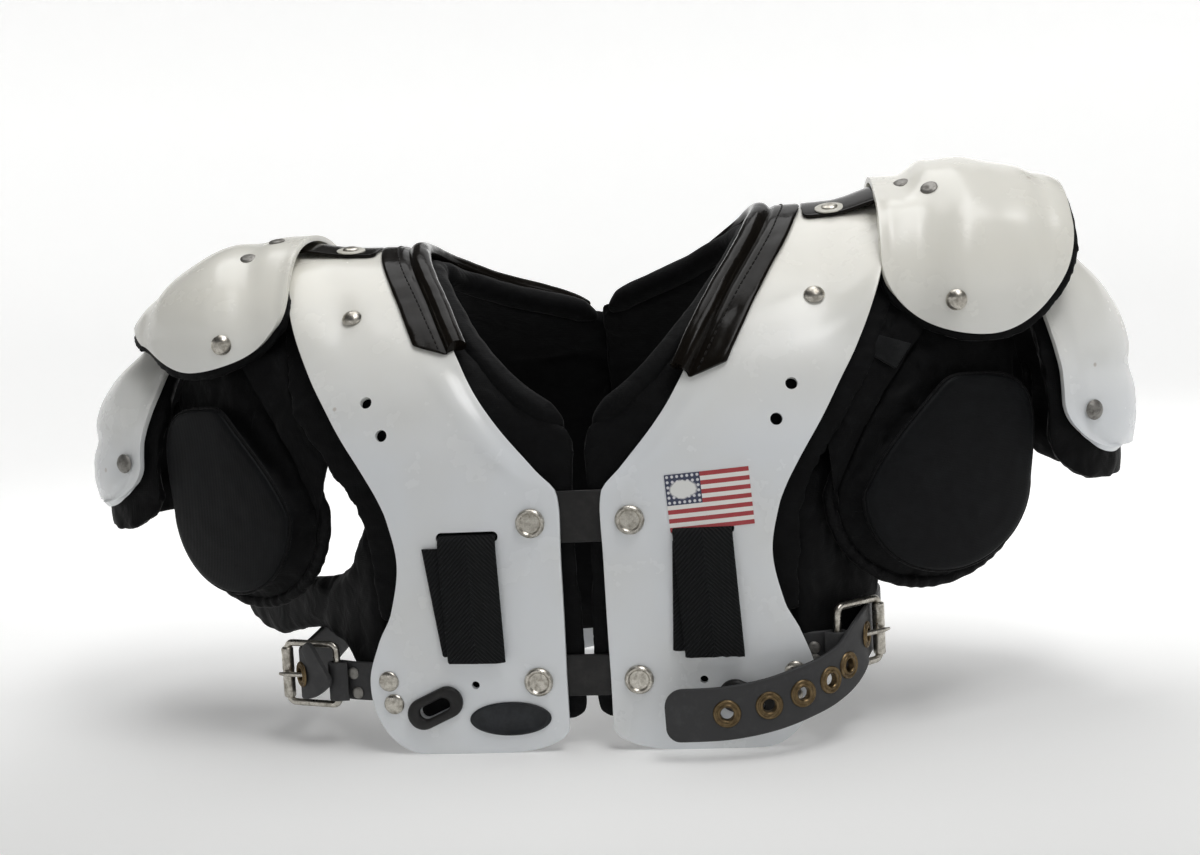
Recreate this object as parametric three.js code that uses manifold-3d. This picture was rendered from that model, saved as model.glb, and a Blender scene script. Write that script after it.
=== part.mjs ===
// Football shoulder pads: two moulded arches of white plate, joined in front by two bars and behind
// by one, with padded liners, hinged shoulder caps, arm caps, front pads, webbing and side belts.
// Millimetres, +Z up. The chest faces -Y, and the pads stand on the lower edges of the plates at z = 0.
// Left and right are the wearer's: the left half is at +X.
import * as THREE from 'three';
import { mergeVertices } from 'three/addons/utils/BufferGeometryUtils.js';
import Module from 'manifold-3d';

const wasm = await Module();
wasm.setup();

// Driving dimensions
const GAP = 0.3; // clearance between pieces that touch
const SET_BACK = 4; // brings the middle of the depth to y = 0
const PLATE = 3.2; // wall of the moulded plates
const BAR = 2.5; // wall of the joining bars and of the vinyl tabs
const PAD = 12.5; // padding of the body liner
const PAD_LIFT = -(PLATE + BAR + 2 * GAP); // outer face of the liner, below the plate's outer face
const WEBBING = { width: 29, wall: 1.9, slotHeight: 5.4, slotZ: 110, hem: 48 };
const BELT = { width: 26, wall: 2.4 };
const TRIM = { lap: 24, wall: 1.8, bead: 3.6, lift: 0.7, swell: 0.6, backStation: 402 };
const STRAP = { front: 292, back: 340, wall: 2, outerX: 166, fromTrim: 6 };

// What differs between the halves, which sit unevenly: the rise of the shoulder and of the back, the
// crown, droop and seat of the cap, the span of the arm cap, the start of the trim, the middle and half
// width of the egg pad, the flare of the liner beside it, the span and reach of the side pad, the inner
// edge of the webbing and the shift of its under ply at slot and hem, the place of the cap's rivet, the
// place, height and turn of the buckle, and the place along its frame where its prong goes through the belt.
const HALVES = [
  {
    name: 'left', sign: 1, rise: 7, backRise: -6, capTop: 290, capDroop: 22, capSeat: 1, armTop: 237,
    armBottom: 134, trimFront: 186, eggX: 177, eggWide: 62, flare: 0, sideLow: 72, sideHigh: 128,
    sideReach: 152, webbingX: 45, plyTop: 0, plyBottom: -3.5, capRivet: { s: 21, x: 190 }, buckleX: 134,
    buckleZ: 51, buckleTurn: 45, prongAt: 1,
  },
  {
    name: 'right', sign: -1, rise: -4, backRise: 4, capTop: 266, capDroop: 40, capSeat: 0.1, armTop: 202,
    armBottom: 126, trimFront: 206, eggX: 183, eggWide: 55, flare: 7, sideLow: 56, sideHigh: 84,
    sideReach: 212, webbingX: 42, plyTop: 9, plyBottom: 1, capRivet: { s: 13, x: 186 }, buckleX: 146.5,
    buckleZ: 38, buckleTurn: 72, prongAt: 3.5,
  },
];

// Side view of the arch, from the front foot over the shoulder to the back foot
const ARCH_PATH = [
  { y: -108.5, z: 0 }, { y: -108.5, z: 24 }, { y: -110, z: 60 }, { y: -112, z: 120 }, { y: -109.5, z: 158 },
  { y: -104, z: 180 }, { y: -95, z: 197 }, { y: -83, z: 212 }, { y: -69, z: 225 }, { y: -48, z: 242 },
  { y: -26, z: 255 }, { y: 0, z: 261 }, { y: 26, z: 256 }, { y: 50, z: 243 }, { y: 72, z: 226 },
  { y: 88, z: 209 }, { y: 99, z: 190 }, { y: 106, z: 165 }, { y: 110, z: 120 }, { y: 110, z: 60 },
  { y: 109.5, z: 24 }, { y: 109.5, z: 0 },
];

// Edges of the plate: station along the path, and the distance of each edge from the middle
const PLATE_EDGES = [
  { s: 0, inner: 11, outer: 111 }, { s: 36, inner: 11, outer: 111.5 }, { s: 58, inner: 10.7, outer: 105 },
  { s: 72, inner: 10.6, outer: 98 }, { s: 98, inner: 10.5, outer: 93 }, { s: 120, inner: 10, outer: 97 },
  { s: 130, inner: 11, outer: 101 }, { s: 142, inner: 21, outer: 107.5 }, { s: 164, inner: 39, outer: 120.5 },
  { s: 181, inner: 50, outer: 129 }, { s: 200, inner: 59, outer: 138 }, { s: 238, inner: 74, outer: 152 },
  { s: 289, inner: 92, outer: 162 }, { s: 315, inner: 96, outer: 164 }, { s: 342, inner: 90, outer: 163 },
  { s: 368, inner: 70, outer: 158 }, { s: 400, inner: 19, outer: 149 }, { s: 416, inner: 9, outer: 146 },
  { s: 440, inner: 9, outer: 140 }, { s: 466, inner: 9, outer: 128 }, { s: 511, inner: 9, outer: 106 },
  { s: 540, inner: 9, outer: 99 }, { s: 575, inner: 9, outer: 107 }, { s: 600, inner: 9, outer: 111 },
  { s: 632, inner: 9, outer: 111 },
];

// Edges of the body liner, on the same stations
const LINER_EDGES = [
  { s: 14, inner: 3.5, outer: 94 }, { s: 60, inner: 3.5, outer: 94 }, { s: 66, inner: 3.5, outer: 107 },
  { s: 110, inner: 3.5, outer: 108 }, { s: 130, inner: 3.5, outer: 114 }, { s: 152, inner: 3.5, outer: 127 },
  { s: 162, inner: 6, outer: 133 }, { s: 181, inner: 26, outer: 142 }, { s: 200, inner: 42, outer: 149 },
  { s: 238, inner: 63, outer: 159 }, { s: 289, inner: 82, outer: 167 }, { s: 315, inner: 86, outer: 168 },
  { s: 342, inner: 78, outer: 167 }, { s: 368, inner: 55, outer: 164 }, { s: 392, inner: 13, outer: 160 },
  { s: 404, inner: 4, outer: 158 }, { s: 440, inner: 3.5, outer: 152 }, { s: 500, inner: 3.5, outer: 122 },
  { s: 540, inner: 3.5, outer: 113 }, { s: 618, inner: 3.5, outer: 108 },
];

// Share of a half's flare that widens the liner beside the egg pad, on the same stations
const LINER_FLARE = [
  { s: 90, share: 0 }, { s: 120, share: 0.6 }, { s: 150, share: 1 }, { s: 180, share: 1 },
  { s: 220, share: 0 },
];

// Rounded corners of a sheet's two ends: run along the end, and rise along the side
const FOOT_CORNER = { inner: { run: 33, rise: 12 }, outer: { run: 27, rise: 34 } };
const LINER_CORNER = { inner: { run: 8, rise: 10 }, outer: { run: 14, rise: 16 } };
const CAP_CORNER = { inner: { run: 49, rise: 40 }, outer: { run: 47, rise: 62 } };

// Side view of the shoulder cap, drawn with its crown at CAP_CROWN above the floor
const CAP_CROWN = 272;
const CAP_HEM = 197;
const CAP_PATH = [
  { y: -80, z: 197 }, { y: -76, z: 222 }, { y: -62, z: 247 }, { y: -38, z: 265 }, { y: 0, z: 272 },
  { y: 40, z: 265 }, { y: 66, z: 248 }, { y: 82, z: 223 }, { y: 87, z: 200 },
];
const CAP = {
  inner: 153, outer: 250, flangeEnd: 167, ridge: 182, rim: 5, lining: 5, liningGap: 0.8,
  liningFrom: 188,
};

// Arm cap: upright profile of its bend, as the share of its height and the radius about its axis
const ARM = {
  axisX: 230, sweep: 78, topSweep: 40, narrowFrom: 0.55, hemShare: 0.22, hemRound: 0.45, pad: 11, padRim: 7,
  padDrop: 17, padGap: 1.1, rivetTurn: -62, rivetAt: 0.2,
};
const ARM_PROFILE = [
  { s: 0, radius: 58 }, { s: 0.15, radius: 60 }, { s: 0.4, radius: 59 }, { s: 0.6, radius: 55 },
  { s: 0.8, radius: 45 }, { s: 1, radius: 27 },
];

// Egg-shaped pad in front of the arm: a raised panel on a backing that reaches up under the cap
const EGG = {
  y: -70, z: 122, turn: 30, high: 52, wall: 24, rim: 8, panelShare: 0.8, slantOuter: 0.2, slantInner: 0.72,
  hanger: 1.72,
};

const BAR_SPANS = { reach: 36, upper: [105, 131], lower: [27, 48], back: [490, 530] };
const RIVETS = {
  bar: { radius: 7.3, height: 2.2 }, dome: { radius: 5.2, height: 3 }, corner: { radius: 5.2, height: 2 },
};
const FRONT_RIVETS = [
  { name: 'bar_rivet_upper', size: RIVETS.bar, x: 24.5, z: 116 },
  { name: 'bar_rivet_lower', size: RIVETS.bar, x: 25, z: 36 },
  { name: 'plate_rivet', size: RIVETS.dome, x: 119, z: 221.6 },
  { name: 'corner_rivet_upper', size: RIVETS.corner, x: 101.5, z: 37.5 },
  { name: 'corner_rivet_lower', size: RIVETS.corner, x: 99.5, z: 25.8 },
];
const GUARD = { x: 78, z: 24, turn: 25, long: 30, tall: 16, slotLong: 17, slotTall: 7, height: 3.2 };
const VENTS = [{ x: 105.5, z: 179, radius: 3 }, { x: 97.5, z: 162, radius: 3 }, { x: 57, z: 35, radius: 2 }];
const WING = {
  wall: 11, drop: 18, dropFrom: 156, dropTo: 190, round: 0.82, swing: 1.05, inset: 4.2, clear: 0.6,
};
const HANGER = { from: 170, to: 229, wall: 2, angles: [3.0, 1.85], clear: 1.05 };

// Route of the belt for the left half: from the back plate and round the side
const BELT_ROUTE = [
  { x: 72, y: 112.6, z: 42 }, { x: 98, y: 112.6, z: 42 }, { x: 126, y: 98, z: 43 }, { x: 141, y: 58, z: 45 },
  { x: 149, y: 0, z: 47 },
];

// Its end, through the buckle: along the frame towards the roller, out of the frame's plane and up from the
// frame's middle. The left tail then runs on over the front plate.
const BELT_ENDS = {
  left: [
    { x: 147, y: -45, z: 51 }, { along: 15.5, out: -6.2, up: 0 }, { along: 5, out: 0.5, up: 0 },
    { along: -3, out: 4.6, up: -1.5 }, { along: -15.5, out: 6.5, up: -11 }, { x: 117, y: -110.5, z: 33.2 },
    { x: 104.5, y: -116.5, z: 30.3 }, { x: 88.5, y: -120, z: 25.7 }, { x: 68, y: -119.5, z: 22.1 },
    { x: 38.5, y: -117, z: 20.5 },
  ],
  right: [
    { x: 153, y: -45, z: 40 }, { along: 10.5, out: -8.5, up: 0 }, { along: 8.2, out: -2.6, up: 0 },
    { along: 3.8, out: 3.1, up: 0.2 }, { along: -3.5, out: 6.6, up: 2.8 }, { along: -11, out: 8.4, up: 8.8 },
  ],
};

// Roller buckle: its frame stands upright and is turned from the Y axis, with its heel bar towards the plate
const BUCKLE = {
  y: -87.5, long: 34, tall: 35, wire: 3.6, roller: 3.1, prongWide: 3.2, prongThick: 2.4,
  holeLong: 14, holeTall: 4.4, holeDeep: 12, holeOut: 2.5,
};

// Tab of the buckle: its riveted end behind the plate, and how far it keeps from the middle of the heel bar
const TAB = {
  x: 100.8, y: -101, tall: 24, drop: -4,
  keep: { left: { x: 1.5, y: 2.75 }, right: { x: 2.6, y: 0.6 } },
};

const UP = new THREE.Vector3(0, 0, 1);
const SMOOTH = { plateColumns: 4, rivetSides: 10, holeSides: 10 };

// Materials
const finish = (color, roughness, metalness = 0) => ({ color, roughness, metalness });
const WHITE_PLATE = finish(0xdfe3e4, 0.25);
const BLACK_CLOTH = finish(0x121315, 0.85);
const VINYL = finish(0x241f1b, 0.3);
const BELT_VINYL = finish(0x2b2c2e, 0.5);
const NICKEL = finish(0xb4b0a8, 0.3, 1);
const DARK_BAR = finish(0x26282b, 0.5);

const pads = new THREE.Group();

function addPiece(name, geometry, look) {
  const piece = new THREE.Mesh(geometry, new THREE.MeshStandardMaterial(look));
  piece.name = name;
  pads.add(piece);
}

// Value of one column of a table at station s, without overshoot between its rows
function valueAt(rows, name, s) {
  let i = 0;
  while (i < rows.length - 2 && s > rows[i + 1].s) i += 1;
  const rate = (k) => (rows[k + 1][name] - rows[k][name]) / (rows[k + 1].s - rows[k].s);
  const slope = (k) => {
    if (k === 0) return rate(0);
    if (k === rows.length - 1) return rate(k - 1);
    const product = rate(k - 1) * rate(k);
    return product <= 0 ? 0 : (2 * product) / (rate(k - 1) + rate(k));
  };
  const span = rows[i + 1].s - rows[i].s;
  const t = THREE.MathUtils.clamp((s - rows[i].s) / span, 0, 1);
  const start = rows[i][name] * (1 + 2 * t) * (1 - t) ** 2 + slope(i) * span * t * (1 - t) ** 2;
  return start + rows[i + 1][name] * t * t * (3 - 2 * t) + slope(i + 1) * span * t * t * (t - 1);
}

// A sheet bent along a side-view path; bulge lifts it along the path's outward normal
class BentSheet {
  constructor(path, bulge) {
    const points = path.map(({ y, z }) => new THREE.Vector3(0, y, z));
    this.path = new THREE.CatmullRomCurve3(points, false, 'centripetal');
    this.path.arcLengthDivisions = 600;
    this.length = this.path.getLength();
    this.bulge = bulge;
  }

  outward(s) {
    const tangent = this.path.getTangentAt(THREE.MathUtils.clamp(s / this.length, 0, 1));
    return new THREE.Vector3(0, -tangent.z, tangent.y);
  }

  at(s, x, lift) {
    const share = THREE.MathUtils.clamp(s / this.length, 0, 1);
    const point = this.path.getPointAt(share);
    point.addScaledVector(this.path.getTangentAt(share), s - share * this.length);
    point.addScaledVector(this.outward(s), this.bulge(s, x, point) + lift);
    point.x = x;
    return point;
  }
}

// Direction that a sheet faces at a point of its outer face
function facing(sheet, s, x) {
  const step = 0.5;
  const along = sheet.at(s + step, x, 0).sub(sheet.at(s - step, x, 0));
  const across = sheet.at(s, x + step, 0).sub(sheet.at(s, x - step, 0));
  return across.cross(along).normalize();
}

// Edges of a sheet at station s, drawn in towards its two ends by elliptical corners
function edgesAt(rows, corner, s) {
  const fromEnd = Math.min(s - rows[0].s, rows.at(-1).s - s);
  const drawnIn = ({ run, rise }) => {
    const share = THREE.MathUtils.clamp(1 - fromEnd / rise, 0, 1);
    return run * (1 - Math.sqrt(1 - share * share));
  };
  return [
    valueAt(rows, 'inner', s) + drawnIn(corner.inner),
    valueAt(rows, 'outer', s) - drawnIn(corner.outer),
  ];
}

// Stations along a sheet: close together at its rounded ends, and about a step apart between them
function stationsBetween(first, last, ends, step) {
  const from = first + ends.at(-1);
  const to = last - ends.at(-1);
  const count = Math.round((to - from) / step);
  const middle = evenly(count).slice(1, -1).map((t) => THREE.MathUtils.lerp(from, to, t));
  return [...ends.map((e) => first + e), ...middle, ...ends.map((e) => last - e).reverse()];
}

// Stations that fall between two others, with those two as the ends
function within(stations, first, last) {
  const clear = 2;
  return [first, ...stations.filter((s) => s > first + clear && s < last - clear), last];
}

// Closed solid between two grids of points, with its faces turned outwards
function slab(rows, columns, topAt, bottomAt) {
  const positions = [];
  const indices = [];
  const index = (side, i, j) => (side * rows.length + i) * columns.length + j;
  for (const at of [topAt, bottomAt]) {
    for (const row of rows) {
      for (const column of columns) positions.push(...at(row, column).toArray());
    }
  }
  const quad = (a, b, c, d) => indices.push(a, b, c, a, c, d);
  const lastRow = rows.length - 1;
  const lastColumn = columns.length - 1;
  for (let i = 0; i < lastRow; i += 1) {
    for (let j = 0; j < lastColumn; j += 1) {
      quad(index(0, i, j), index(0, i + 1, j), index(0, i + 1, j + 1), index(0, i, j + 1));
      quad(index(1, i, j), index(1, i, j + 1), index(1, i + 1, j + 1), index(1, i + 1, j));
    }
    quad(index(0, i, 0), index(1, i, 0), index(1, i + 1, 0), index(0, i + 1, 0));
    const edge = (side, row) => index(side, row, lastColumn);
    quad(edge(0, i), edge(0, i + 1), edge(1, i + 1), edge(1, i));
  }
  for (let j = 0; j < lastColumn; j += 1) {
    quad(index(0, 0, j), index(0, 0, j + 1), index(1, 0, j + 1), index(1, 0, j));
    quad(index(0, lastRow, j), index(1, lastRow, j), index(1, lastRow, j + 1), index(0, lastRow, j + 1));
  }
  const geometry = new THREE.BufferGeometry();
  geometry.setAttribute('position', new THREE.Float32BufferAttribute(positions, 3));
  geometry.setIndex(indices);
  return facedOut(geometry);
}

// Turns every triangle round where the solid is inside out
function facedOut(geometry) {
  const position = geometry.getAttribute('position');
  const corner = (k) => new THREE.Vector3().fromBufferAttribute(position, geometry.index.getX(k));
  let volume = 0;
  for (let k = 0; k < geometry.index.count; k += 3) {
    volume += corner(k).dot(corner(k + 1).cross(corner(k + 2)));
  }
  if (volume < 0) geometry.setIndex([...geometry.index.array].reverse());
  return geometry;
}

function evenly(count) {
  return Array.from({ length: count + 1 }, (_, i) => i / count);
}

// Boolean work on closed geometries
function toSolid(geometry) {
  const bare = geometry.clone();
  bare.deleteAttribute('normal');
  bare.deleteAttribute('uv');
  const merged = mergeVertices(bare, 1e-4);
  const vertProperties = new Float32Array(merged.getAttribute('position').array);
  const triVerts = new Uint32Array(merged.index.array);
  return new wasm.Manifold(new wasm.Mesh({ numProp: 3, vertProperties, triVerts }));
}

function toGeometry(solid) {
  const mesh = solid.getMesh();
  const geometry = new THREE.BufferGeometry();
  geometry.setAttribute('position', new THREE.Float32BufferAttribute(mesh.vertProperties, 3));
  geometry.setIndex([...mesh.triVerts]);
  return geometry;
}

function cut(geometry, tools) {
  return toGeometry(tools.reduce((solid, tool) => solid.subtract(toSolid(tool)), toSolid(geometry)));
}

function join(geometries) {
  return toGeometry(geometries.map(toSolid).reduce((whole, solid) => whole.add(solid)));
}

// Moves a geometry drawn about its own Z axis to a point, with that axis along a direction
function seated(geometry, point, axis) {
  const turn = new THREE.Quaternion().setFromUnitVectors(UP, axis.clone().normalize());
  return geometry.applyQuaternion(turn).translate(...point.toArray());
}

function roundedBar(long, tall, radius) {
  const shape = new THREE.Shape();
  const x = long / 2 - radius;
  const y = tall / 2 - radius;
  shape.absarc(x, y, radius, 0, Math.PI / 2);
  shape.absarc(-x, y, radius, Math.PI / 2, Math.PI);
  shape.absarc(-x, -y, radius, Math.PI, Math.PI * 1.5);
  shape.absarc(x, -y, radius, Math.PI * 1.5, Math.PI * 2);
  return shape;
}


// Arch of one half: the outer edge wraps back in front, and the top tips up towards the arm
function archOf(half) {
  const wrap = 3;
  const tip = 0.05;
  const path = ARCH_PATH.map(({ y, z }) => {
    const rise = THREE.MathUtils.lerp(half.rise, half.backRise, THREE.MathUtils.smoothstep(y, 10, 80));
    return { y, z: z + rise * THREE.MathUtils.smoothstep(z, 140, 225) };
  });
  return new BentSheet(path, (s, x, point) => {
    const top = THREE.MathUtils.smoothstep(point.z, 190, 245);
    const beyond = Math.max(0, Math.abs(x) - 60) / 50;
    return -wrap * beyond * beyond * (1 - top) + tip * (Math.abs(x) - 130) * top;
  });
}

function frontPoint(arch, half, x, z, lift) {
  return arch.at(stationAt(arch, z), half.sign * x, lift);
}

// Station on the front of the arch at a height above the floor
function stationAt(arch, z) {
  let low = 0;
  let high = arch.length / 2;
  for (let k = 0; k < 30; k += 1) {
    const middle = (low + high) / 2;
    if (arch.path.getPointAt(middle / arch.length).z < z) low = middle;
    else high = middle;
  }
  return low;
}

function slotTool(long, tall, turn, point) {
  const depth = 30;
  const shape = roundedBar(long, tall, tall / 2 - 0.01);
  const tool = new THREE.ExtrudeGeometry(shape, { depth, bevelEnabled: false, curveSegments: 4 });
  tool.translate(0, 0, -depth / 2).rotateZ(turn).rotateX(Math.PI / 2);
  return tool.translate(...point.toArray());
}

function archStations(arch) {
  return stationsBetween(0, arch.length, [0, 1.5, 5, 11, 20, 34], 21);
}

function makeArchPlate(half, arch) {
  const rows = [...PLATE_EDGES.slice(0, -1), { ...PLATE_EDGES.at(-1), s: arch.length }];
  const stations = archStations(arch);
  const at = (lift) => (s, v) => {
    const [inner, outer] = edgesAt(rows, FOOT_CORNER, s);
    return arch.at(s, half.sign * THREE.MathUtils.lerp(inner, outer, v), lift);
  };
  const plate = slab(stations, evenly(SMOOTH.plateColumns), at(0), at(-PLATE));
  const drillDepth = 30;
  const vents = VENTS.map(({ x, z, radius }) => {
    const drill = new THREE.CylinderGeometry(radius, radius, drillDepth, SMOOTH.holeSides);
    return drill.translate(...frontPoint(arch, half, x, z, 0).toArray());
  });
  const slotAt = frontPoint(arch, half, half.webbingX + WEBBING.width / 2, WEBBING.slotZ, 0);
  const webbingSlot = slotTool(WEBBING.width + 2, WEBBING.slotHeight, 0, slotAt);
  const hookAt = frontPoint(arch, half, GUARD.x, GUARD.z, 0);
  const hookSlot = slotTool(GUARD.slotLong, GUARD.slotTall, hookTurn(half), hookAt);
  addPiece(`arch_plate_${half.name}`, cut(plate, [...vents, webbingSlot, hookSlot]), WHITE_PLATE);
}

function hookTurn(half) {
  return -half.sign * THREE.MathUtils.degToRad(GUARD.turn);
}

// Padding that thins out to half its wall towards the rim of its sheet
function fullness(share) {
  const fromMiddle = Math.abs(2 * share - 1);
  return (1 + Math.sqrt(1 - fromMiddle ** 3)) / 2;
}

function linerPoint(half, arch, s, v, depth) {
  const [inner, edge] = edgesAt(LINER_EDGES, LINER_CORNER, s);
  const outer = edge + half.flare * valueAt(LINER_FLARE, 'share', s);
  return arch.at(s, half.sign * THREE.MathUtils.lerp(inner, outer, v), PAD_LIFT - depth * fullness(v));
}

function makeBodyPad(half, arch) {
  const stations = stationsBetween(LINER_EDGES[0].s, LINER_EDGES.at(-1).s, [0, 4, 12], 24);
  const extra = [LINER_EDGES[1].s, LINER_EDGES[2].s];
  const rows = [...stations, ...extra].sort((a, b) => a - b);
  const columns = [0, 0.06, 0.3, 0.7, 0.94, 1];
  const pad = slab(
    rows, columns, (s, v) => linerPoint(half, arch, s, v, 0), (s, v) => linerPoint(half, arch, s, v, PAD),
  );
  addPiece(`body_pad_${half.name}`, pad, BLACK_CLOTH);
}

// Binding of the neck edge: a flat lap on the plate, and a bead that rolls over its edge
function makeNeckTrim(half, arch) {
  const { lap, wall, bead, lift, swell, backStation } = TRIM;
  const centre = { x: -GAP - bead, lift: bead - PLATE };
  const arc = (degrees) => {
    const angle = THREE.MathUtils.degToRad(degrees);
    return { x: centre.x + bead * Math.cos(angle), lift: centre.lift + bead * Math.sin(angle) };
  };
  const section = [
    { x: lap, lift }, { x: lap, lift: lift + wall }, { x: 1, lift: lift + wall + swell },
    ...[60, 110, 165, 220, 275].map(arc), { x: -GAP, lift: centre.lift - bead / 3 }, { x: -GAP, lift },
  ];
  const stations = within(archStations(arch), half.trimFront, backStation);
  const rings = stations.map((s) => {
    const edge = valueAt(PLATE_EDGES, 'inner', s);
    return section.map((corner) => arch.at(s, half.sign * (edge + corner.x), corner.lift));
  });
  addPiece(`neck_trim_${half.name}`, loft(rings), VINYL);
}

// Solid through a row of rings with equal counts, closed by flat faces at both ends
function loft(rings) {
  const count = rings[0].length;
  const positions = rings.flat().flatMap((point) => point.toArray());
  const indices = [];
  for (let i = 0; i < rings.length - 1; i += 1) {
    for (let j = 0; j < count; j += 1) {
      const next = (j + 1) % count;
      const [a, b, c, d] = [i * count + j, i * count + next, (i + 1) * count + next, (i + 1) * count + j];
      indices.push(a, b, c, a, c, d);
    }
  }
  const outline = rings[0].map((point) => new THREE.Vector2(point.x, point.z));
  const faces = THREE.ShapeUtils.triangulateShape(outline, []);
  const last = (rings.length - 1) * count;
  const clockwise = THREE.ShapeUtils.isClockWise(outline);
  for (const [a, b, c] of faces) {
    const start = clockwise ? [a, b, c] : [c, b, a];
    const end = clockwise ? [c, b, a] : [a, b, c];
    indices.push(...start, ...end.map((k) => last + k));
  }
  const geometry = new THREE.BufferGeometry();
  geometry.setAttribute('position', new THREE.Float32BufferAttribute(positions, 3));
  geometry.setIndex(indices);
  return facedOut(geometry);
}

function makeShoulderStrap(half, arch) {
  const inner = valueAt(PLATE_EDGES, 'inner', (STRAP.front + STRAP.back) / 2) + TRIM.lap + STRAP.fromTrim;
  const at = (lift) => (s, v) => arch.at(s, half.sign * THREE.MathUtils.lerp(inner, STRAP.outerX, v), lift);
  const stations = within(archStations(arch), STRAP.front, STRAP.back);
  const strap = slab(stations, evenly(2), at(GAP + STRAP.wall), at(GAP));
  addPiece(`shoulder_strap_${half.name}`, strap, VINYL);
}

// Shoulder cap of one half: a flange that lies on the strap, a ridge, and a crown that droops to the arm
function capOf(half, arch) {
  const stretch = (half.capTop - CAP_HEM) / (CAP_CROWN - CAP_HEM);
  const path = CAP_PATH.map(({ y, z }) => ({ y, z: CAP_HEM + (z - CAP_HEM) * stretch }));
  const strapTop = arch.at((STRAP.front + STRAP.back) / 2, half.sign * CAP.flangeEnd, GAP + STRAP.wall).z;
  const flange = strapTop + half.capSeat + PLATE - half.capTop;
  return new BentSheet(path, (s, x, point) => {
    const reach = Math.abs(x);
    if (reach > CAP.ridge) return -half.capDroop * ((reach - CAP.ridge) / (CAP.outer - CAP.ridge)) ** 2;
    const onTop = THREE.MathUtils.smoothstep(point.z, half.capTop - 30, half.capTop - 8);
    const down = 1 - THREE.MathUtils.smoothstep(reach, CAP.flangeEnd, CAP.ridge);
    return flange * down * onTop;
  });
}

function capEdges(cap, s, rim) {
  const rows = [
    { s: -rim, inner: CAP.inner, outer: CAP.outer + rim },
    { s: cap.length + rim, inner: CAP.inner, outer: CAP.outer + rim },
  ];
  return edgesAt(rows, CAP_CORNER, s);
}

function capStations(cap) {
  return stationsBetween(0, cap.length, [0.6, 3, 9, 20, 36, 60], 22);
}

function makeShoulderCap(half, cap) {
  const at = (lift) => (s, v) => {
    const [inner, outer] = capEdges(cap, s, 0);
    return cap.at(s, half.sign * THREE.MathUtils.lerp(inner, outer, v), lift);
  };
  const columns = [0, 0.14, 0.3, 0.45, 0.6, 0.74, 0.87, 1];
  addPiece(`shoulder_cap_${half.name}`, slab(capStations(cap), columns, at(0), at(-PLATE)), WHITE_PLATE);
}

function liningPoint(half, cap, s, v, depth) {
  const [inner, outer] = capEdges(cap, s, CAP.rim);
  const start = Math.max(inner, CAP.liningFrom);
  return cap.at(s, half.sign * THREE.MathUtils.lerp(start, outer, v), -PLATE - CAP.liningGap - depth);
}

function makeCapLining(half, cap) {
  const tip = CAP.rim - 1.2;
  const stations = [-tip, ...capStations(cap), cap.length + tip];
  const lining = slab(
    stations, evenly(6), (s, v) => liningPoint(half, cap, s, v, 0),
    (s, v) => liningPoint(half, cap, s, v, CAP.lining),
  );
  addPiece(`cap_lining_${half.name}`, lining, BLACK_CLOTH);
}

// Arm cap: height share t from its hem, angle round its upright axis as a share of the sweep
function armPoint(half, t, turn, depth) {
  const radius = valueAt(ARM_PROFILE, 'radius', THREE.MathUtils.clamp(t, 0, 1)) - depth;
  const angle = THREE.MathUtils.degToRad(turn);
  const z = THREE.MathUtils.lerp(half.armBottom, half.armTop, t);
  return new THREE.Vector3(half.sign * (ARM.axisX + radius * Math.cos(angle)), radius * Math.sin(angle), z);
}

function armSweep(t, extra) {
  const hem = THREE.MathUtils.clamp(1 - t / ARM.hemShare, 0, 1);
  const rounded = 1 - ARM.hemRound * (1 - Math.sqrt(1 - hem * hem));
  const narrowed = THREE.MathUtils.smoothstep(t, ARM.narrowFrom, 1);
  return THREE.MathUtils.lerp(ARM.sweep, ARM.topSweep, narrowed) * rounded + extra;
}

function makeArmCap(half) {
  const at = (depth) => (t, v) => armPoint(half, t, (2 * v - 1) * armSweep(t, 0), depth);
  const rows = [0, 0.02, 0.07, 0.14, 0.24, 0.4, 0.55, 0.7, 0.85, 1];
  addPiece(`arm_cap_${half.name}`, slab(rows, evenly(10), at(0), at(PLATE)), WHITE_PLATE);
}

function makeArmPad(half) {
  const drop = ARM.padDrop / (half.armTop - half.armBottom);
  const rows = [-1, -0.9, -0.6, 0, 0.07, 0.14, 0.24, 0.4, 0.55, 0.7, 0.85, 0.97];
  const height = (t) => (t < 0 ? t * drop : t);
  const at = (depth) => (t, v) => {
    const inset = PLATE + ARM.padGap + depth * fullness(v);
    const sweep = armSweep((height(t) + drop) / (1 + drop), ARM.padRim);
    return armPoint(half, height(t), (2 * v - 1) * sweep, inset);
  };
  addPiece(`arm_pad_${half.name}`, slab(rows, evenly(8), at(0), at(ARM.pad)), BLACK_CLOTH);
}

// Band that hangs the arm cap from the lining of the shoulder cap
function makeArmStrap(half, cap) {
  const halfWidth = 16;
  const wall = 2;
  const hungAt = 0.7;
  const middle = cap.length / 2;
  const under = (side) => liningPoint(half, cap, middle + side, hungAt, CAP.lining + 3 * GAP);
  const onCap = (side) => {
    const point = armPoint(half, 1, 0, 0);
    return new THREE.Vector3(point.x, side, point.z + GAP);
  };
  const inward = new THREE.Vector3(-half.sign * wall, 0, 0);
  const at = (shift) => (t, v) => {
    const side = (2 * v - 1) * halfWidth;
    return under(side).lerp(onCap(side), t).addScaledVector(inward, shift);
  };
  addPiece(`arm_strap_${half.name}`, slab([0, 0.5, 1], evenly(2), at(0), at(1)), BLACK_CLOTH);
}

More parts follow.
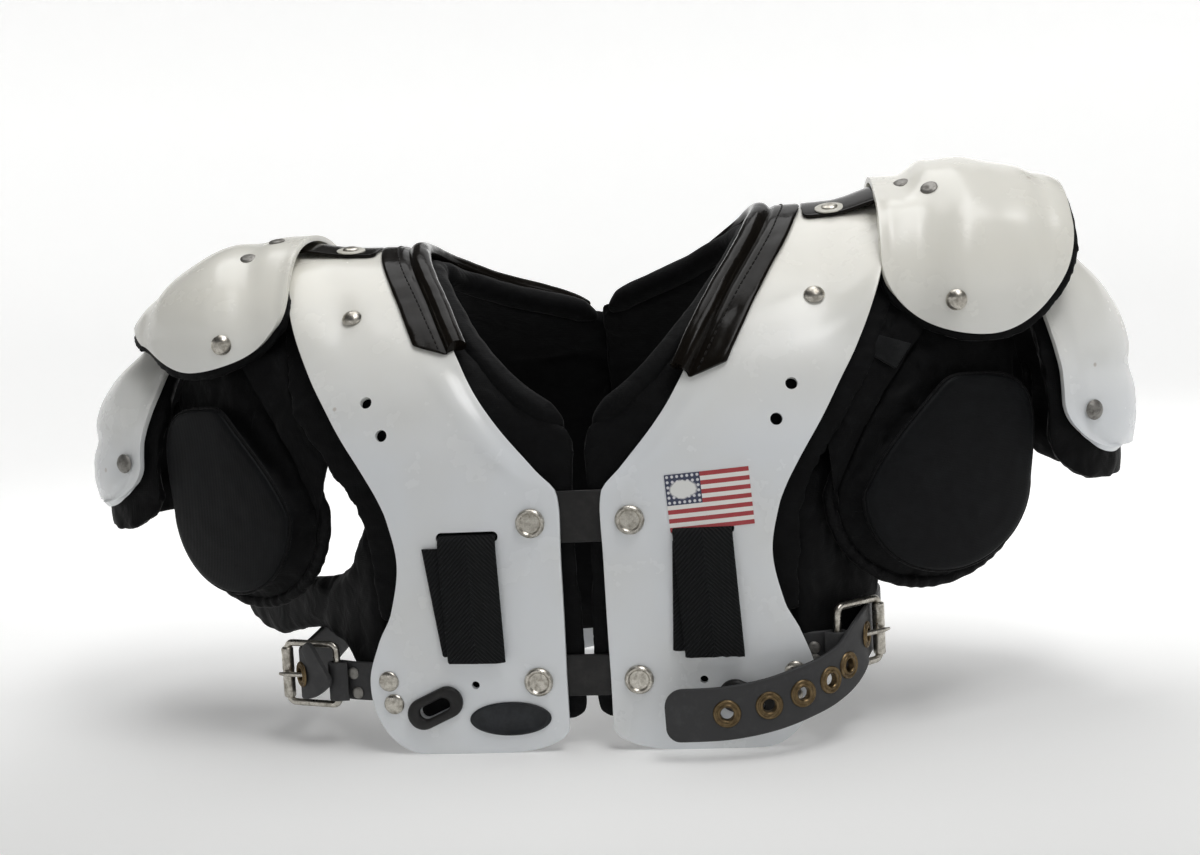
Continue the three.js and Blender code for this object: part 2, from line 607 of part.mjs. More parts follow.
// Egg pad: outline by angle, with its upper inner side cut away; depth 0 is its front panel
function eggPoint(half, angle, share, depth, reach) {
  const turn = THREE.MathUtils.degToRad(EGG.turn);
  const high = Math.sin(angle) > 0 ? EGG.high * reach : EGG.high;
  const up = Math.sin(angle) * high * share;
  const inward = THREE.MathUtils.clamp(-2 * Math.cos(angle), 0, 1);
  const slant = THREE.MathUtils.lerp(EGG.slantOuter, EGG.slantInner, inward);
  const along = Math.cos(angle) * half.eggWide * share + (slant * Math.max(0, up)) / reach;
  const normal = new THREE.Vector3(Math.sin(turn), -Math.cos(turn), 0);
  const side = new THREE.Vector3(Math.cos(turn), Math.sin(turn), 0);
  const point = new THREE.Vector3(half.eggX, EGG.y, EGG.z + up).addScaledVector(side, along);
  point.addScaledVector(normal, EGG.wall / 2 - depth);
  point.x *= half.sign;
  return point;
}

function makeDeltoidPad(half) {
  const sides = 20;
  const steps = [
    { share: 0, depth: 0, reach: 1 }, { share: EGG.panelShare, depth: 1.5, reach: 1 },
    { share: 0.86, depth: EGG.wall - EGG.rim, reach: 1 },
    { share: 0.97, depth: EGG.wall - EGG.rim, reach: EGG.hanger },
    { share: 1, depth: EGG.wall - EGG.rim / 2, reach: EGG.hanger },
    { share: 0.96, depth: EGG.wall, reach: EGG.hanger }, { share: 0, depth: EGG.wall, reach: 1 },
  ];
  const rows = evenly(sides).map((t) => t * 2 * Math.PI);
  const positions = [];
  const indices = [];
  for (const { share, depth, reach } of steps) {
    for (const angle of rows) positions.push(...eggPoint(half, angle, share, depth, reach).toArray());
  }
  for (let k = 0; k < steps.length - 1; k += 1) {
    for (let j = 0; j < sides; j += 1) {
      const a = k * rows.length + j;
      const b = a + rows.length;
      if (steps[k].share > 0) indices.push(a, a + 1, b);
      if (steps[k + 1].share > 0) indices.push(a + 1, b + 1, b);
    }
  }
  const geometry = new THREE.BufferGeometry();
  geometry.setAttribute('position', new THREE.Float32BufferAttribute(positions, 3));
  geometry.setIndex(indices);
  addPiece(`deltoid_pad_${half.name}`, facedOut(mergeVertices(geometry, 1e-3)), BLACK_CLOTH);
}

// Cloth panel from the rim of the liner to the upper rim of the egg pad's backing
function makeDeltoidStrap(half, arch) {
  const outward = new THREE.Vector3(half.sign * 2 * GAP, 0, 0);
  const start = (v) => {
    const s = THREE.MathUtils.lerp(HANGER.from, HANGER.to, v);
    return linerPoint(half, arch, s, 1, PAD / 2).add(outward);
  };
  const end = (v) => {
    const angle = THREE.MathUtils.lerp(HANGER.angles[0], HANGER.angles[1], v);
    return eggPoint(half, angle, HANGER.clear, EGG.wall - EGG.rim / 2, EGG.hanger);
  };
  const at = (shift) => (t, v) => start(v).lerp(end(v), t).add(new THREE.Vector3(0, shift * HANGER.wall, 0));
  addPiece(`deltoid_strap_${half.name}`, slab(evenly(2), evenly(4), at(-0.5), at(0.5)), BLACK_CLOTH);
}

// Wing of padding below the arm: from the rim of the liner outwards and back, over the belt
function makeSidePad(half, arch) {
  const rim = linerPoint(half, arch, (half.sideLow + half.sideHigh) / 2, 1, 0);
  const rimX = LINER_EDGES[3].outer;
  const height = half.sideHigh - half.sideLow;
  const at = (depth) => (t, v) => {
    const past = Math.max(0, (t - WING.round) / (1.01 - WING.round));
    const rounded = Math.sqrt(1 - past * past);
    const level = half.sideLow + height * v;
    const startX = Math.max(valueAt(LINER_EDGES, 'outer', level), rimX) + WING.clear;
    const x = THREE.MathUtils.lerp(startX, half.sideReach, t);
    const drop = WING.drop * THREE.MathUtils.smoothstep(x, WING.dropFrom, WING.dropTo);
    const z = half.sideLow + height / 2 - drop + height * (v - 0.5) * rounded;
    const back = WING.inset + WING.swing * (x - rimX) + depth * (0.6 + 0.4 * rounded);
    return new THREE.Vector3(half.sign * x, rim.y + back, z);
  };
  const pad = slab([0, 0.25, 0.5, 0.75, 0.88, 0.96, 1], [0, 0.15, 0.5, 0.85, 1], at(0), at(WING.wall));
  addPiece(`side_pad_${half.name}`, pad, BLACK_CLOTH);
}

// Webbing out of its slot: the outer ply turns into the slot, and the under ply leans out from below it
function makeChestWebbing(half, arch) {
  const { width, wall, slotZ, hem } = WEBBING;
  const layer = (ply) => GAP + ply * (wall + GAP);
  const inner = layer(1);
  const outer = inner + wall;
  const route = [
    { outerZ: hem, outerLift: outer, innerZ: hem, innerLift: inner },
    { outerZ: slotZ - 4, outerLift: outer, innerZ: slotZ - 4, innerLift: inner },
    { outerZ: slotZ - 0.4, outerLift: outer - 0.6, innerZ: slotZ - 1, innerLift: inner - 0.6 },
    { outerZ: slotZ + 1.6, outerLift: -1, innerZ: slotZ - 0.4, innerLift: -1 },
    { outerZ: slotZ + 1.6, outerLift: -PLATE, innerZ: slotZ - 0.4, innerLift: -PLATE },
  ];
  const across = (v) => half.webbingX + v * width;
  const outerPly = slab(
    route, evenly(1), (row, v) => frontPoint(arch, half, across(v), row.outerZ, row.outerLift),
    (row, v) => frontPoint(arch, half, across(v), row.innerZ, row.innerLift),
  );
  addPiece(`chest_webbing_${half.name}`, outerPly, BLACK_CLOTH);
  const lean = (z) => THREE.MathUtils.mapLinear(z, hem, slotZ, half.plyBottom, half.plyTop);
  const under = (lift) => (z, v) => frontPoint(arch, half, across(v) + lean(z), z, lift);
  const levels = evenly(2).map((t) => THREE.MathUtils.lerp(hem + 3, slotZ - 5, t));
  const underPly = slab(levels, evenly(1), under(layer(0) + wall), under(layer(0)));
  addPiece(`chest_webbing_under_${half.name}`, underPly, BLACK_CLOTH);
}

function makeSlotGuard(half, arch) {
  const outline = roundedBar(GUARD.long, GUARD.tall, GUARD.tall / 2 - 0.01);
  const slot = roundedBar(GUARD.slotLong, GUARD.slotTall, GUARD.slotTall / 2 - 0.01);
  outline.holes.push(new THREE.Path(slot.getPoints(3)));
  const depth = GUARD.height;
  const ring = new THREE.ExtrudeGeometry(outline, { depth, bevelEnabled: false, curveSegments: 3 });
  ring.rotateZ(hookTurn(half)).rotateX(Math.PI / 2);
  ring.translate(...frontPoint(arch, half, GUARD.x, GUARD.z, 3 * GAP).toArray());
  addPiece(`slot_guard_${half.name}`, mergedShape(ring), DARK_BAR);
}

function mergedShape(geometry) {
  return toGeometry(toSolid(geometry));
}

// Strip of belt along a route, with its width upright
function beltStrip(points) {
  const curve = new THREE.CatmullRomCurve3(points, false, 'centripetal');
  const at = (side) => (t, v) => {
    const tangent = curve.getTangent(t);
    const across = tangent.clone().cross(UP).normalize();
    const upright = across.clone().cross(tangent).normalize();
    const point = curve.getPoint(t).addScaledVector(upright, (v - 0.5) * BELT.width);
    return point.addScaledVector(across, side * BELT.wall / 2);
  };
  return slab(evenly(Math.round((points.length - 1) * 2.5)), [0, 1], at(1), at(-1));
}

// Point of the buckle in the place of the left half's
function onBuckle(half, along, out, up) {
  const turn = THREE.MathUtils.degToRad(half.buckleTurn);
  const x = half.buckleX + along * Math.sin(turn) + out * Math.cos(turn);
  return new THREE.Vector3(x, BUCKLE.y + along * Math.cos(turn) - out * Math.sin(turn), half.buckleZ + up);
}

// Shape drawn for the left half about the buckle's middle, with its length along Y, set in its place
function placeOnBuckle(half, geometry) {
  geometry.rotateZ(-THREE.MathUtils.degToRad(half.buckleTurn));
  return mirrored(half, geometry.translate(half.buckleX, BUCKLE.y, half.buckleZ));
}

function mirrored(half, geometry) {
  return half.sign > 0 ? geometry : facedOut(mergeVertices(bareCopy(geometry)).scale(-1, 1, 1));
}

function makeSideBelt(half) {
  const points = [...BELT_ROUTE, ...BELT_ENDS[half.name]].map(({ x, y, z, along, out, up }) => {
    const point = along === undefined ? new THREE.Vector3(x, y, z) : onBuckle(half, along, out, up);
    return point.setX(half.sign * point.x);
  });
  const { holeLong, holeTall, holeDeep, holeOut } = BUCKLE;
  const hole = new THREE.BoxGeometry(holeDeep, holeLong, holeTall).translate(holeOut, half.prongAt, 0);
  addPiece(`side_belt_${half.name}`, cut(beltStrip(points), [placeOnBuckle(half, hole)]), BELT_VINYL);
}

function makeBuckle(half) {
  const { long, tall, wire, roller, prongWide, prongThick } = BUCKLE;
  const outline = roundedBar(long, tall, wire);
  outline.holes.push(new THREE.Path(roundedBar(long - 2 * wire, tall - 2 * wire, 1).getPoints(2)));
  const rollerBar = new THREE.CylinderGeometry(roller, roller, tall - 2 * wire - 1, 10).rotateX(Math.PI / 2);
  rollerBar.translate(0, long / 2 - wire / 2, 0);
  const frame = join([ringAlongY(outline, wire), rollerBar]);
  addPiece(`buckle_frame_${half.name}`, placeOnBuckle(half, frame), NICKEL);
  const heel = new THREE.Vector3(0, -long / 2 + wire + 2 * GAP, 0);
  const overRoller = new THREE.Vector3(roller + 2 * GAP + prongThick / 2, long / 2 - wire / 4 + GAP, 0);
  const run = overRoller.clone().sub(heel);
  const pin = new THREE.BoxGeometry(prongThick, run.length(), prongWide);
  pin.rotateZ(-Math.atan2(run.x, run.y)).translate(...heel.addScaledVector(run, 0.5).toArray());
  addPiece(`buckle_prong_${half.name}`, placeOnBuckle(half, pin), NICKEL);
  const keep = TAB.keep[half.name];
  const end = onBuckle(half, -long / 2 + wire / 2, 0, TAB.drop);
  end.add(new THREE.Vector3(-keep.x, -keep.y, 0));
  const start = new THREE.Vector3(TAB.x, TAB.y, end.z);
  const length = end.distanceTo(start);
  const tab = new THREE.BoxGeometry(length, BAR, TAB.tall);
  tab.rotateZ(Math.atan2(end.y - start.y, end.x - start.x));
  tab.translate(...start.add(end).multiplyScalar(0.5).toArray());
  addPiece(`buckle_tab_${half.name}`, mirrored(half, tab), BELT_VINYL);
}

function bareCopy(geometry) {
  const copy = geometry.clone();
  copy.deleteAttribute('normal');
  copy.deleteAttribute('uv');
  return copy;
}

// Ring of the buckle in the plane of the belt: its length along Y and its height along Z
function ringAlongY(outline, wire) {
  const ring = new THREE.ExtrudeGeometry(outline, { depth: wire, bevelEnabled: false, curveSegments: 3 });
  const basis = new THREE.Matrix4().makeBasis(
    new THREE.Vector3(0, 1, 0), new THREE.Vector3(0, 0, 1), new THREE.Vector3(1, 0, 0),
  );
  return ring.translate(0, 0, -wire / 2).applyMatrix4(basis);
}

function rivetHead({ radius, height }) {
  const profile = [
    new THREE.Vector2(0, 0), new THREE.Vector2(radius * 0.96, 0), new THREE.Vector2(radius, height * 0.35),
    new THREE.Vector2(radius * 0.72, height * 0.85), new THREE.Vector2(0, height),
  ];
  return new THREE.LatheGeometry(profile, SMOOTH.rivetSides).rotateX(Math.PI / 2);
}

function addRivet(name, size, point, axis) {
  addPiece(name, mergedShape(seated(rivetHead(size), point.addScaledVector(axis, 1.5 * GAP), axis)), NICKEL);
}

function makeRivets(half, arch, cap) {
  for (const { name, size, x, z } of FRONT_RIVETS) {
    const axis = facing(arch, stationAt(arch, z), half.sign * x);
    addRivet(`${name}_${half.name}`, size, frontPoint(arch, half, x, z, 0), axis);
  }
  const { s, x } = half.capRivet;
  const capAxis = facing(cap, s, half.sign * x);
  addRivet(`cap_rivet_${half.name}`, RIVETS.dome, cap.at(s, half.sign * x, GAP), capAxis);
  const armTurn = THREE.MathUtils.degToRad(ARM.rivetTurn);
  const outward = new THREE.Vector3(half.sign * Math.cos(armTurn), Math.sin(armTurn), 0);
  addRivet(`arm_rivet_${half.name}`, RIVETS.dome, armPoint(half, ARM.rivetAt, ARM.rivetTurn, 0), outward);
}

// Bars that join the halves, bent as the plates they lie behind
function makeBars(arch) {
  const { reach, upper, lower, back } = BAR_SPANS;
  const bar = (from, to) => {
    const at = (lift) => (s, v) => arch.at(s, (2 * v - 1) * reach, lift);
    const stations = evenly(2).map((t) => THREE.MathUtils.lerp(from, to, t));
    return slab(stations, evenly(2), at(-PLATE - GAP), at(-PLATE - GAP - BAR));
  };
  addPiece('front_bar_upper', bar(...upper), DARK_BAR);
  addPiece('front_bar_lower', bar(...lower), DARK_BAR);
  addPiece('back_bar', bar(...back), DARK_BAR);
}

for (const half of HALVES) {
  const arch = archOf(half);
  const cap = capOf(half, arch);
  makeArchPlate(half, arch);
  makeBodyPad(half, arch);
  makeNeckTrim(half, arch);
  makeShoulderStrap(half, arch);
  makeShoulderCap(half, cap);
  makeCapLining(half, cap);
  makeArmCap(half);
  makeArmPad(half);
  makeArmStrap(half, cap);
  makeDeltoidPad(half);
  makeDeltoidStrap(half, arch);
  makeSidePad(half, arch);
  makeChestWebbing(half, arch);
  makeSlotGuard(half, arch);
  makeSideBelt(half);
  makeBuckle(half);
  makeRivets(half, arch, cap);
}
makeBars(archOf({ rise: 0, backRise: 0 }));
for (const piece of pads.children) piece.geometry.translate(0, SET_BACK, 0);

export default pads;
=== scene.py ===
import math

import bpy
import numpy as np
from mathutils import Matrix, Vector, noise


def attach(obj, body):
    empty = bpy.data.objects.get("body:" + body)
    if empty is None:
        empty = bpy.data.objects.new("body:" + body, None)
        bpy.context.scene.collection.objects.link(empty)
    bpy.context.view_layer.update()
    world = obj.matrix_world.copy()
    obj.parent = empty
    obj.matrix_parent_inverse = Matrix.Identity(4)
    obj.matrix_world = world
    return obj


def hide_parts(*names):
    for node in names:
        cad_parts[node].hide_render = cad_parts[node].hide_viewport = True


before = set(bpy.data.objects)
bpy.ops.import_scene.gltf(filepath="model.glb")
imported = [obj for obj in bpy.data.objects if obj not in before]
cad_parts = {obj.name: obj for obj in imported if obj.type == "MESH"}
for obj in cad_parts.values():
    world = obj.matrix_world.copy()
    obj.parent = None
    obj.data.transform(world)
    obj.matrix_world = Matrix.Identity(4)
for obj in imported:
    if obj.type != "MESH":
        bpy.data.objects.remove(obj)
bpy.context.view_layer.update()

bl_info = {
    "name": "Football Shoulder Pads",
    "version": (1, 0, 0),
    "blender": (4, 5, 0),
    "location": "View3D > Sidebar > Shoulder Pads",
    "description": "Models a pair of football shoulder pads, piece by piece",
    "category": "Mesh",
}

# Sizes are in millimetres unless a name says otherwise. The wearer's left is +X, and the chest faces -Y.
MM = 0.001
# Space between parts that touch, and how far all of them stand back from the frame's middle
GAP = 0.3
SET_BACK = 4.0
# Wall of the white plates, thickness of the body pads, and height of the pads' face above the plates'
PLATE = 3.2
PAD = 12.5
PAD_LIFT = -6.3
# What the filling adds to each pad's thickness
PUFF = {"body": 4.4, "arm": 3.4, "wing": 4}
# Station of the arch's top
ARCH_TOP = 316

# Station along the arch from the front foot, then the reach of the inner and the outer edge from the middle
PLATE_EDGES = (
    (0, 11, 111), (36, 11, 111.5), (58, 10.7, 105), (72, 10.6, 98), (98, 10.5, 93), (120, 10, 97),
    (130, 11, 101), (142, 21, 107.5), (164, 39, 120.5), (181, 50, 129), (200, 59, 138), (238, 74, 152),
    (289, 92, 162), (315, 96, 164), (342, 90, 163), (368, 70, 158), (400, 19, 149), (416, 9, 146),
    (440, 9, 140), (466, 9, 128), (511, 9, 106), (540, 9, 99), (575, 9, 107), (600, 9, 111), (632, 9, 111),
)
LINER_EDGES = (
    (14, 3.5, 94), (60, 3.5, 94), (66, 3.5, 107), (110, 3.5, 108), (130, 3.5, 114), (152, 3.5, 127),
    (162, 6, 133), (181, 26, 142), (200, 42, 149), (238, 63, 159), (289, 82, 167), (315, 86, 168),
    (342, 78, 167), (368, 55, 164), (392, 13, 160), (404, 4, 158), (440, 3.5, 152), (500, 3.5, 122),
    (540, 3.5, 113), (618, 3.5, 108),
)
# Station, then the share of a half's flare that widens its liner there
LINER_FLARE = ((90, 0), (120, 0.6), (150, 1), (180, 1), (220, 0))
# Corners at the inner and at the outer edge, each as its run across and its rise along
FOOT_CORNERS = ((33, 12), (27, 34))
LINER_CORNERS = ((8, 10), (14, 16))
# In front the arch wraps back beyond a reach, and its top tips up about another
ARCH_WRAP = {"from": 60, "run": 50, "depth": 3}
ARCH_TIP = {"about": 130, "slope": 0.05}
# Side view: depth, then height above the floor
ARCH_PATH = (
    (-108.5, 0), (-108.5, 24), (-110, 60), (-112, 120), (-109.5, 158), (-104, 180), (-95, 197), (-83, 212),
    (-69, 225), (-48, 242), (-26, 255), (0, 261), (26, 256), (50, 243), (72, 226), (88, 209), (99, 190),
    (106, 165), (110, 120), (110, 60), (109.5, 24), (109.5, 0),
)
CAP_PATH = (
    (-80, 197), (-76, 222), (-62, 247), (-38, 265), (0, 272), (40, 265), (66, 248), (82, 223), (87, 200),
)
CAP_CROWN = 272
CAP_HEM = 197
CAP = {
    "inner": 153, "outer": 250, "flange_end": 167, "ridge": 182, "rim": 3.6, "lining": 5, "lining_gap": 0.8,
}
# Reach of the valley's foot at the crown and at the hem, the groove inside the outer rim, the hem's tuck
CAP_RELIEF = {
    "crown_foot": 187, "hem_foot": 171, "valley_width": 8.5, "groove": 237, "groove_width": 6,
    "groove_depth": 1.8, "tuck": 5.5, "tuck_run": 36,
}
CAP_CORNERS = ((49, 40), (47, 62))
# Station from the hem, then the reach of the lining's inner edge
LINING_INNER = ((-3, 151.5), (30, 151.5), (55, 158), (78, 186), (90, 188))
# Share of the arm cap's height, then its radius
ARM_PROFILE = ((0, 58), (0.15, 60), (0.4, 59), (0.6, 55), (0.8, 45), (1, 27))
ARM = {"axis": 230, "sweep": 78, "top_sweep": 88, "pad": 11, "drop": 17, "rim": 7, "gap": 1.1}
EGG = {"y": -70, "z": 122, "turn": 30, "high": 52, "wall": 24, "rim": 8, "panel_reach": 1.3, "hanger": 1.72}
ARM_BAND = {"half_width": 16, "wall": 2}
TRIM = {"lap": 19.6, "back": 402}
STRAP = {"front": 292, "back": 340, "wall": 2, "outer": 166, "from_trim": 0.8}
WEBBING = {"width": 29, "wall": 1.9, "slot_height": 5.4, "slot_z": 110, "hem": 48}
BELT = {"width": 26, "wall": 2.4, "tip": 14, "tip_share": 0.16}
BELT_ROUTE = ((72, 112.6, 42), (98, 112.6, 42), (126, 98, 43), (141, 58, 45), (149, 0, 47))
# End of the belt: beside the buckle, then through it (along its frame, out of its plane, up), then over
# the plate
BELT_ENDS = {
    "left": (
        ((147, -45, 51),), ((15.5, -6.2, 0), (5, 0.5, 0), (-3, 4.6, -1.5), (-15.5, 6.5, -11)),
        ((117.5, -113.5, 34.7), (104.5, -122.5, 31), (88.5, -128, 27), (68, -130.5, 24), (38.5, -130, 23)),
    ),
    "right": (
        ((153, -45, 40),),
        ((10.5, -8.5, 0), (8.2, -2.6, 0), (3.8, 3.1, 0.2), (-3.5, 6.6, 2.8), (-11, 8.4, 8.8)), (),
    ),
}
BUCKLE = {"y": -87.5, "long": 34, "tall": 35, "wire": 3.6, "roller": 3.1}
TAB = {"x": 98.8, "y": -101, "tall": 20, "wall": 2.2}
GUARD = {"x": 78, "z": 24, "turn": 25, "long": 30, "tall": 16, "slot_long": 17, "slot_tall": 7}
# Reach from the middle, height and radius
VENTS = ((105.5, 179, 3), (97.5, 162, 3), (57, 35, 2))
# Lower and upper station of each bar
BARS = {"front_bar_upper": (105, 131), "front_bar_lower": (27, 48), "back_bar": (490, 530)}
CUTTER_REACH = 15
BAR_REACH = 36
BAR_WALL = 2.5
NECK_ROLL = {"front": 163, "back": 403, "radius": 6.8}
WING = {"wall": 11, "swing": 1.05, "inset": 4.2}
# Reach from the middle, then the lower and the upper edge of the wing there
WINGS = {
    "left": ((108, 26, 152), (120, 26, 150), (134, 30, 142), (142, 44, 130), (152, 66, 114)),
    "right": (
        (108, 26, 124), (118, 28, 112), (128, 36, 98), (140, 47, 89), (156, 50, 84),
        (175, 45, 80), (190, 41, 78), (206, 44, 80), (222, 54, 82),
    ),
}

# What differs between the two halves
HALVES = (
    {
        "name": "left", "sign": 1, "rise": 7, "back_rise": -6,
        "cap_top": 290, "cap_droop": 22, "cap_seat": 1,
        "arm_top": 237, "arm_bottom": 134, "trim_front": 186, "egg_x": 177, "egg_wide": 62, "flare": 0,
        "side_level": 100, "webbing_x": 45, "cap_rivet": (17, 188),
        "buckle_x": 134, "buckle_z": 51, "buckle_turn": 45, "pierced": (1, 2.6, -0.3),
        "cap_raise": 6, "tab_drop": -6,
    },
    {
        "name": "right", "sign": -1, "rise": -4, "back_rise": 4,
        "cap_top": 266, "cap_droop": 40, "cap_seat": 0.1,
        "arm_top": 208, "arm_bottom": 126, "trim_front": 206, "egg_x": 183, "egg_wide": 55, "flare": 7,
        "side_level": 70, "webbing_x": 42, "cap_rivet": (13, 186),
        "buckle_x": 146.5, "buckle_z": 38, "buckle_turn": 72, "pierced": (3.4, 3.4, 0.3),
        "cap_raise": 3, "tab_drop": -3,
    },
)


# Shapes

def lerp(a, b, t):
    return a + (b - a) * t


def smoothstep(x, low, high):
    t = np.clip((x - low) / (high - low), 0, 1)
    return t * t * (3 - 2 * t)


def hump(x, middle, width):
    return np.exp(-((x - middle) / width) ** 2)


def value_at(rows, column, s):
    """Value of a table's column at stations s, without overshoot between its rows."""
    rows = np.asarray(rows, float)
    at, value = rows[:, 0], rows[:, column]
    rate = np.diff(value) / np.diff(at)
    slope = np.concatenate([rate[:1], np.zeros(len(rate) - 1), rate[-1:]])
    product = rate[:-1] * rate[1:]
    steady = product > 0
    slope[1:-1][steady] = 2 * product[steady] / (rate[:-1] + rate[1:])[steady]
    i = np.clip(np.searchsorted(at, s) - 1, 0, len(rate) - 1)
    span = at[i + 1] - at[i]
    t = np.clip((s - at[i]) / span, 0, 1)
    start = value[i] * (1 + 2 * t) * (1 - t) ** 2 + slope[i] * span * t * (1 - t) ** 2
    return start + value[i + 1] * t * t * (3 - 2 * t) + slope[i + 1] * span * t * t * (t - 1)


class Course:
    """A smooth curve through points, read by the distance along it."""

    def __init__(self, points, closed=False):
        points = np.asarray(points, float)
        if closed:
            ends = np.vstack([points[-1], points, points[0], points[1]])
        else:
            ends = np.vstack([2 * points[0] - points[1], points, 2 * points[-1] - points[-2]])
        p0, p1, p2, p3 = ends[:-3], ends[1:-2], ends[2:-1], ends[3:]

        def spacing(a, b):
            return np.sum((a - b) ** 2, axis=1, keepdims=True) ** 0.25

        d0, d1, d2 = spacing(p0, p1), spacing(p1, p2), spacing(p2, p3)
        m1 = ((p1 - p0) / d0 - (p2 - p0) / (d0 + d1) + (p2 - p1) / d1) * d1
        m2 = ((p2 - p1) / d1 - (p3 - p1) / (d1 + d2) + (p3 - p2) / d2) * d1
        t = np.linspace(0, 1, 40, endpoint=False)[None, :, None]
        p1, p2, m1, m2 = (a[:, None, :] for a in (p1, p2, m1, m2))
        run = p1 * (1 + 2 * t) * (1 - t) ** 2 + m1 * t * (1 - t) ** 2
        run = run + p2 * t * t * (3 - 2 * t) + m2 * t * t * (t - 1)
        self.points = np.vstack([run.reshape(-1, points.shape[1]), p2[-1, 0][None]])
        steps = np.linalg.norm(np.diff(self.points, axis=0), axis=1)
        self.distance = np.concatenate([[0], np.cumsum(steps)])
        self.length = self.distance[-1]
        slope = np.gradient(self.points, self.distance, axis=0)
        self.tangents = slope / np.linalg.norm(slope, axis=1, keepdims=True)

    def read(self, s):
        held = np.clip(s, 0, self.length)
        point = np.stack([np.interp(held, self.distance, c) for c in self.points.T], -1)
        tangent = np.stack([np.interp(held, self.distance, c) for c in self.tangents.T], -1)
        return point + tangent * (s - held)[..., None], tangent


class BentSheet(Course):
    """A sheet bent along a side-view course; bulge and relief lift it along the course's outward normal."""

    def __init__(self, path, bulge, relief=None):
        super().__init__(path)
        self.bulge, self.relief = bulge, relief

    def at(self, s, x, lift=0.0):
        s, x = np.broadcast_arrays(np.asarray(s, float), np.asarray(x, float))
        point, tangent = self.read(s)
        out = self.bulge(x, point[..., 1]) + lift
        if self.relief:
            out = out + self.relief(self, s, np.abs(x))
        y = point[..., 0] - tangent[..., 1] * out + SET_BACK
        z = point[..., 1] + tangent[..., 0] * out
        return np.stack([x, y, z], -1)

    def facing(self, s, x, lift=0.0):
        """A point of the sheet and the direction it faces there, as a matrix for a piece drawn along Z."""
        step = 0.5
        along = self.at(s + step, x) - self.at(s - step, x)
        across = self.at(s, x + step) - self.at(s, x - step)
        normal = Vector(np.cross(across, along)).normalized()
        upward = Vector(along).normalized()
        side = upward.cross(normal)
        return Matrix.Translation(Vector(self.at(s, x)) + normal * lift) @ turned(side, upward, normal)

    def station(self, z):
        """Station on the front at a height above the floor."""
        front = self.points[:, 0] < 0
        return np.interp(z, self.points[front, 1], self.distance[front])


class Outline:
    """Edges of a sheet by station, with elliptical corners (run, rise) at its two ends."""

    def __init__(self, rows, corners, last_corners=None):
        self.rows = np.asarray(rows, float)
        self.first, self.last = self.rows[0, 0], self.rows[-1, 0]
        self.corners = (corners, last_corners or corners)

    def reach(self, side, s):
        drawn = np.zeros_like(s)
        for corners, from_end in zip(self.corners, (s - self.first, self.last - s)):
            run, rise = corners[side]
            share = np.clip(1 - from_end / rise, 0, 1)
            drawn = drawn + run * (1 - np.sqrt(1 - share * share))
        return value_at(self.rows, side + 1, s) + (drawn if side == 0 else -drawn)

    def end(self, which, share):
        turn = np.linspace(0, math.pi / 4, 24)
        stations, reaches = [], []
        for side, (run, rise) in enumerate(self.corners[which]):
            from_end = rise * (1 - np.cos(turn))
            s = self.last - from_end if which else self.first + from_end
            drawn = run * (1 - np.sin(turn))
            stations.append(s)
            reaches.append(value_at(self.rows, side + 1, s) + (drawn if side == 0 else -drawn))
        s = np.concatenate([stations[0][::-1], stations[1]])
        x = np.concatenate([reaches[0][::-1], reaches[1]])
        run = np.concatenate([[0], np.cumsum(np.hypot(np.diff(s), np.diff(x)))])
        return np.stack([np.interp(share, run / run[-1], c) for c in (s, x)])

    def edge(self, side, share):
        inset = [c[side][1] * (1 - math.cos(math.pi / 4)) for c in self.corners]
        s = lerp(self.first + inset[0], self.last - inset[1], share)
        return np.stack([s, self.reach(side, s)])

    def lay(self, along, across):
        """Stations and reaches of an even net over the outline."""
        net = (1 - along) * self.end(0, across) + along * self.end(1, across)
        net = net + (1 - across) * self.edge(0, along) + across * self.edge(1, along)
        for which in (0, 1):
            for side in (0, 1):
                corner = self.end(which, np.array([float(side)]))
                weight = (along if which else 1 - along) * (across if side else 1 - across)
                net = net - corner * weight
        return net


def turned(x, y, z):
    """Rotation that puts a piece's axes along these directions."""
    return Matrix((x, y, z)).transposed().to_4x4()


def pointed(point, direction):
    """Seat at a point for a piece drawn along Z, turned to a direction."""
    return Matrix.Translation(point) @ direction.to_track_quat("Z", "Y").to_matrix().to_4x4()


def arm_height(half):
    return half["arm_top"] - half["arm_bottom"]


def arch_of(half):
    """Arch of one half: the outer edge wraps back in front, and the top tips up towards the arm."""
    path = []
    for y, z in ARCH_PATH:
        rise = lerp(half["rise"], half["back_rise"], smoothstep(y, 10, 80))
        path.append((y, z + rise * smoothstep(z, 140, 225)))

    def bulge(x, z):
        top = smoothstep(z, 190, 245)
        beyond = np.maximum(0, np.abs(x) - ARCH_WRAP["from"]) / ARCH_WRAP["run"]
        wrap = -ARCH_WRAP["depth"] * beyond * beyond * (1 - top)
        return wrap + ARCH_TIP["slope"] * (np.abs(x) - ARCH_TIP["about"]) * top

    return BentSheet(path, bulge)


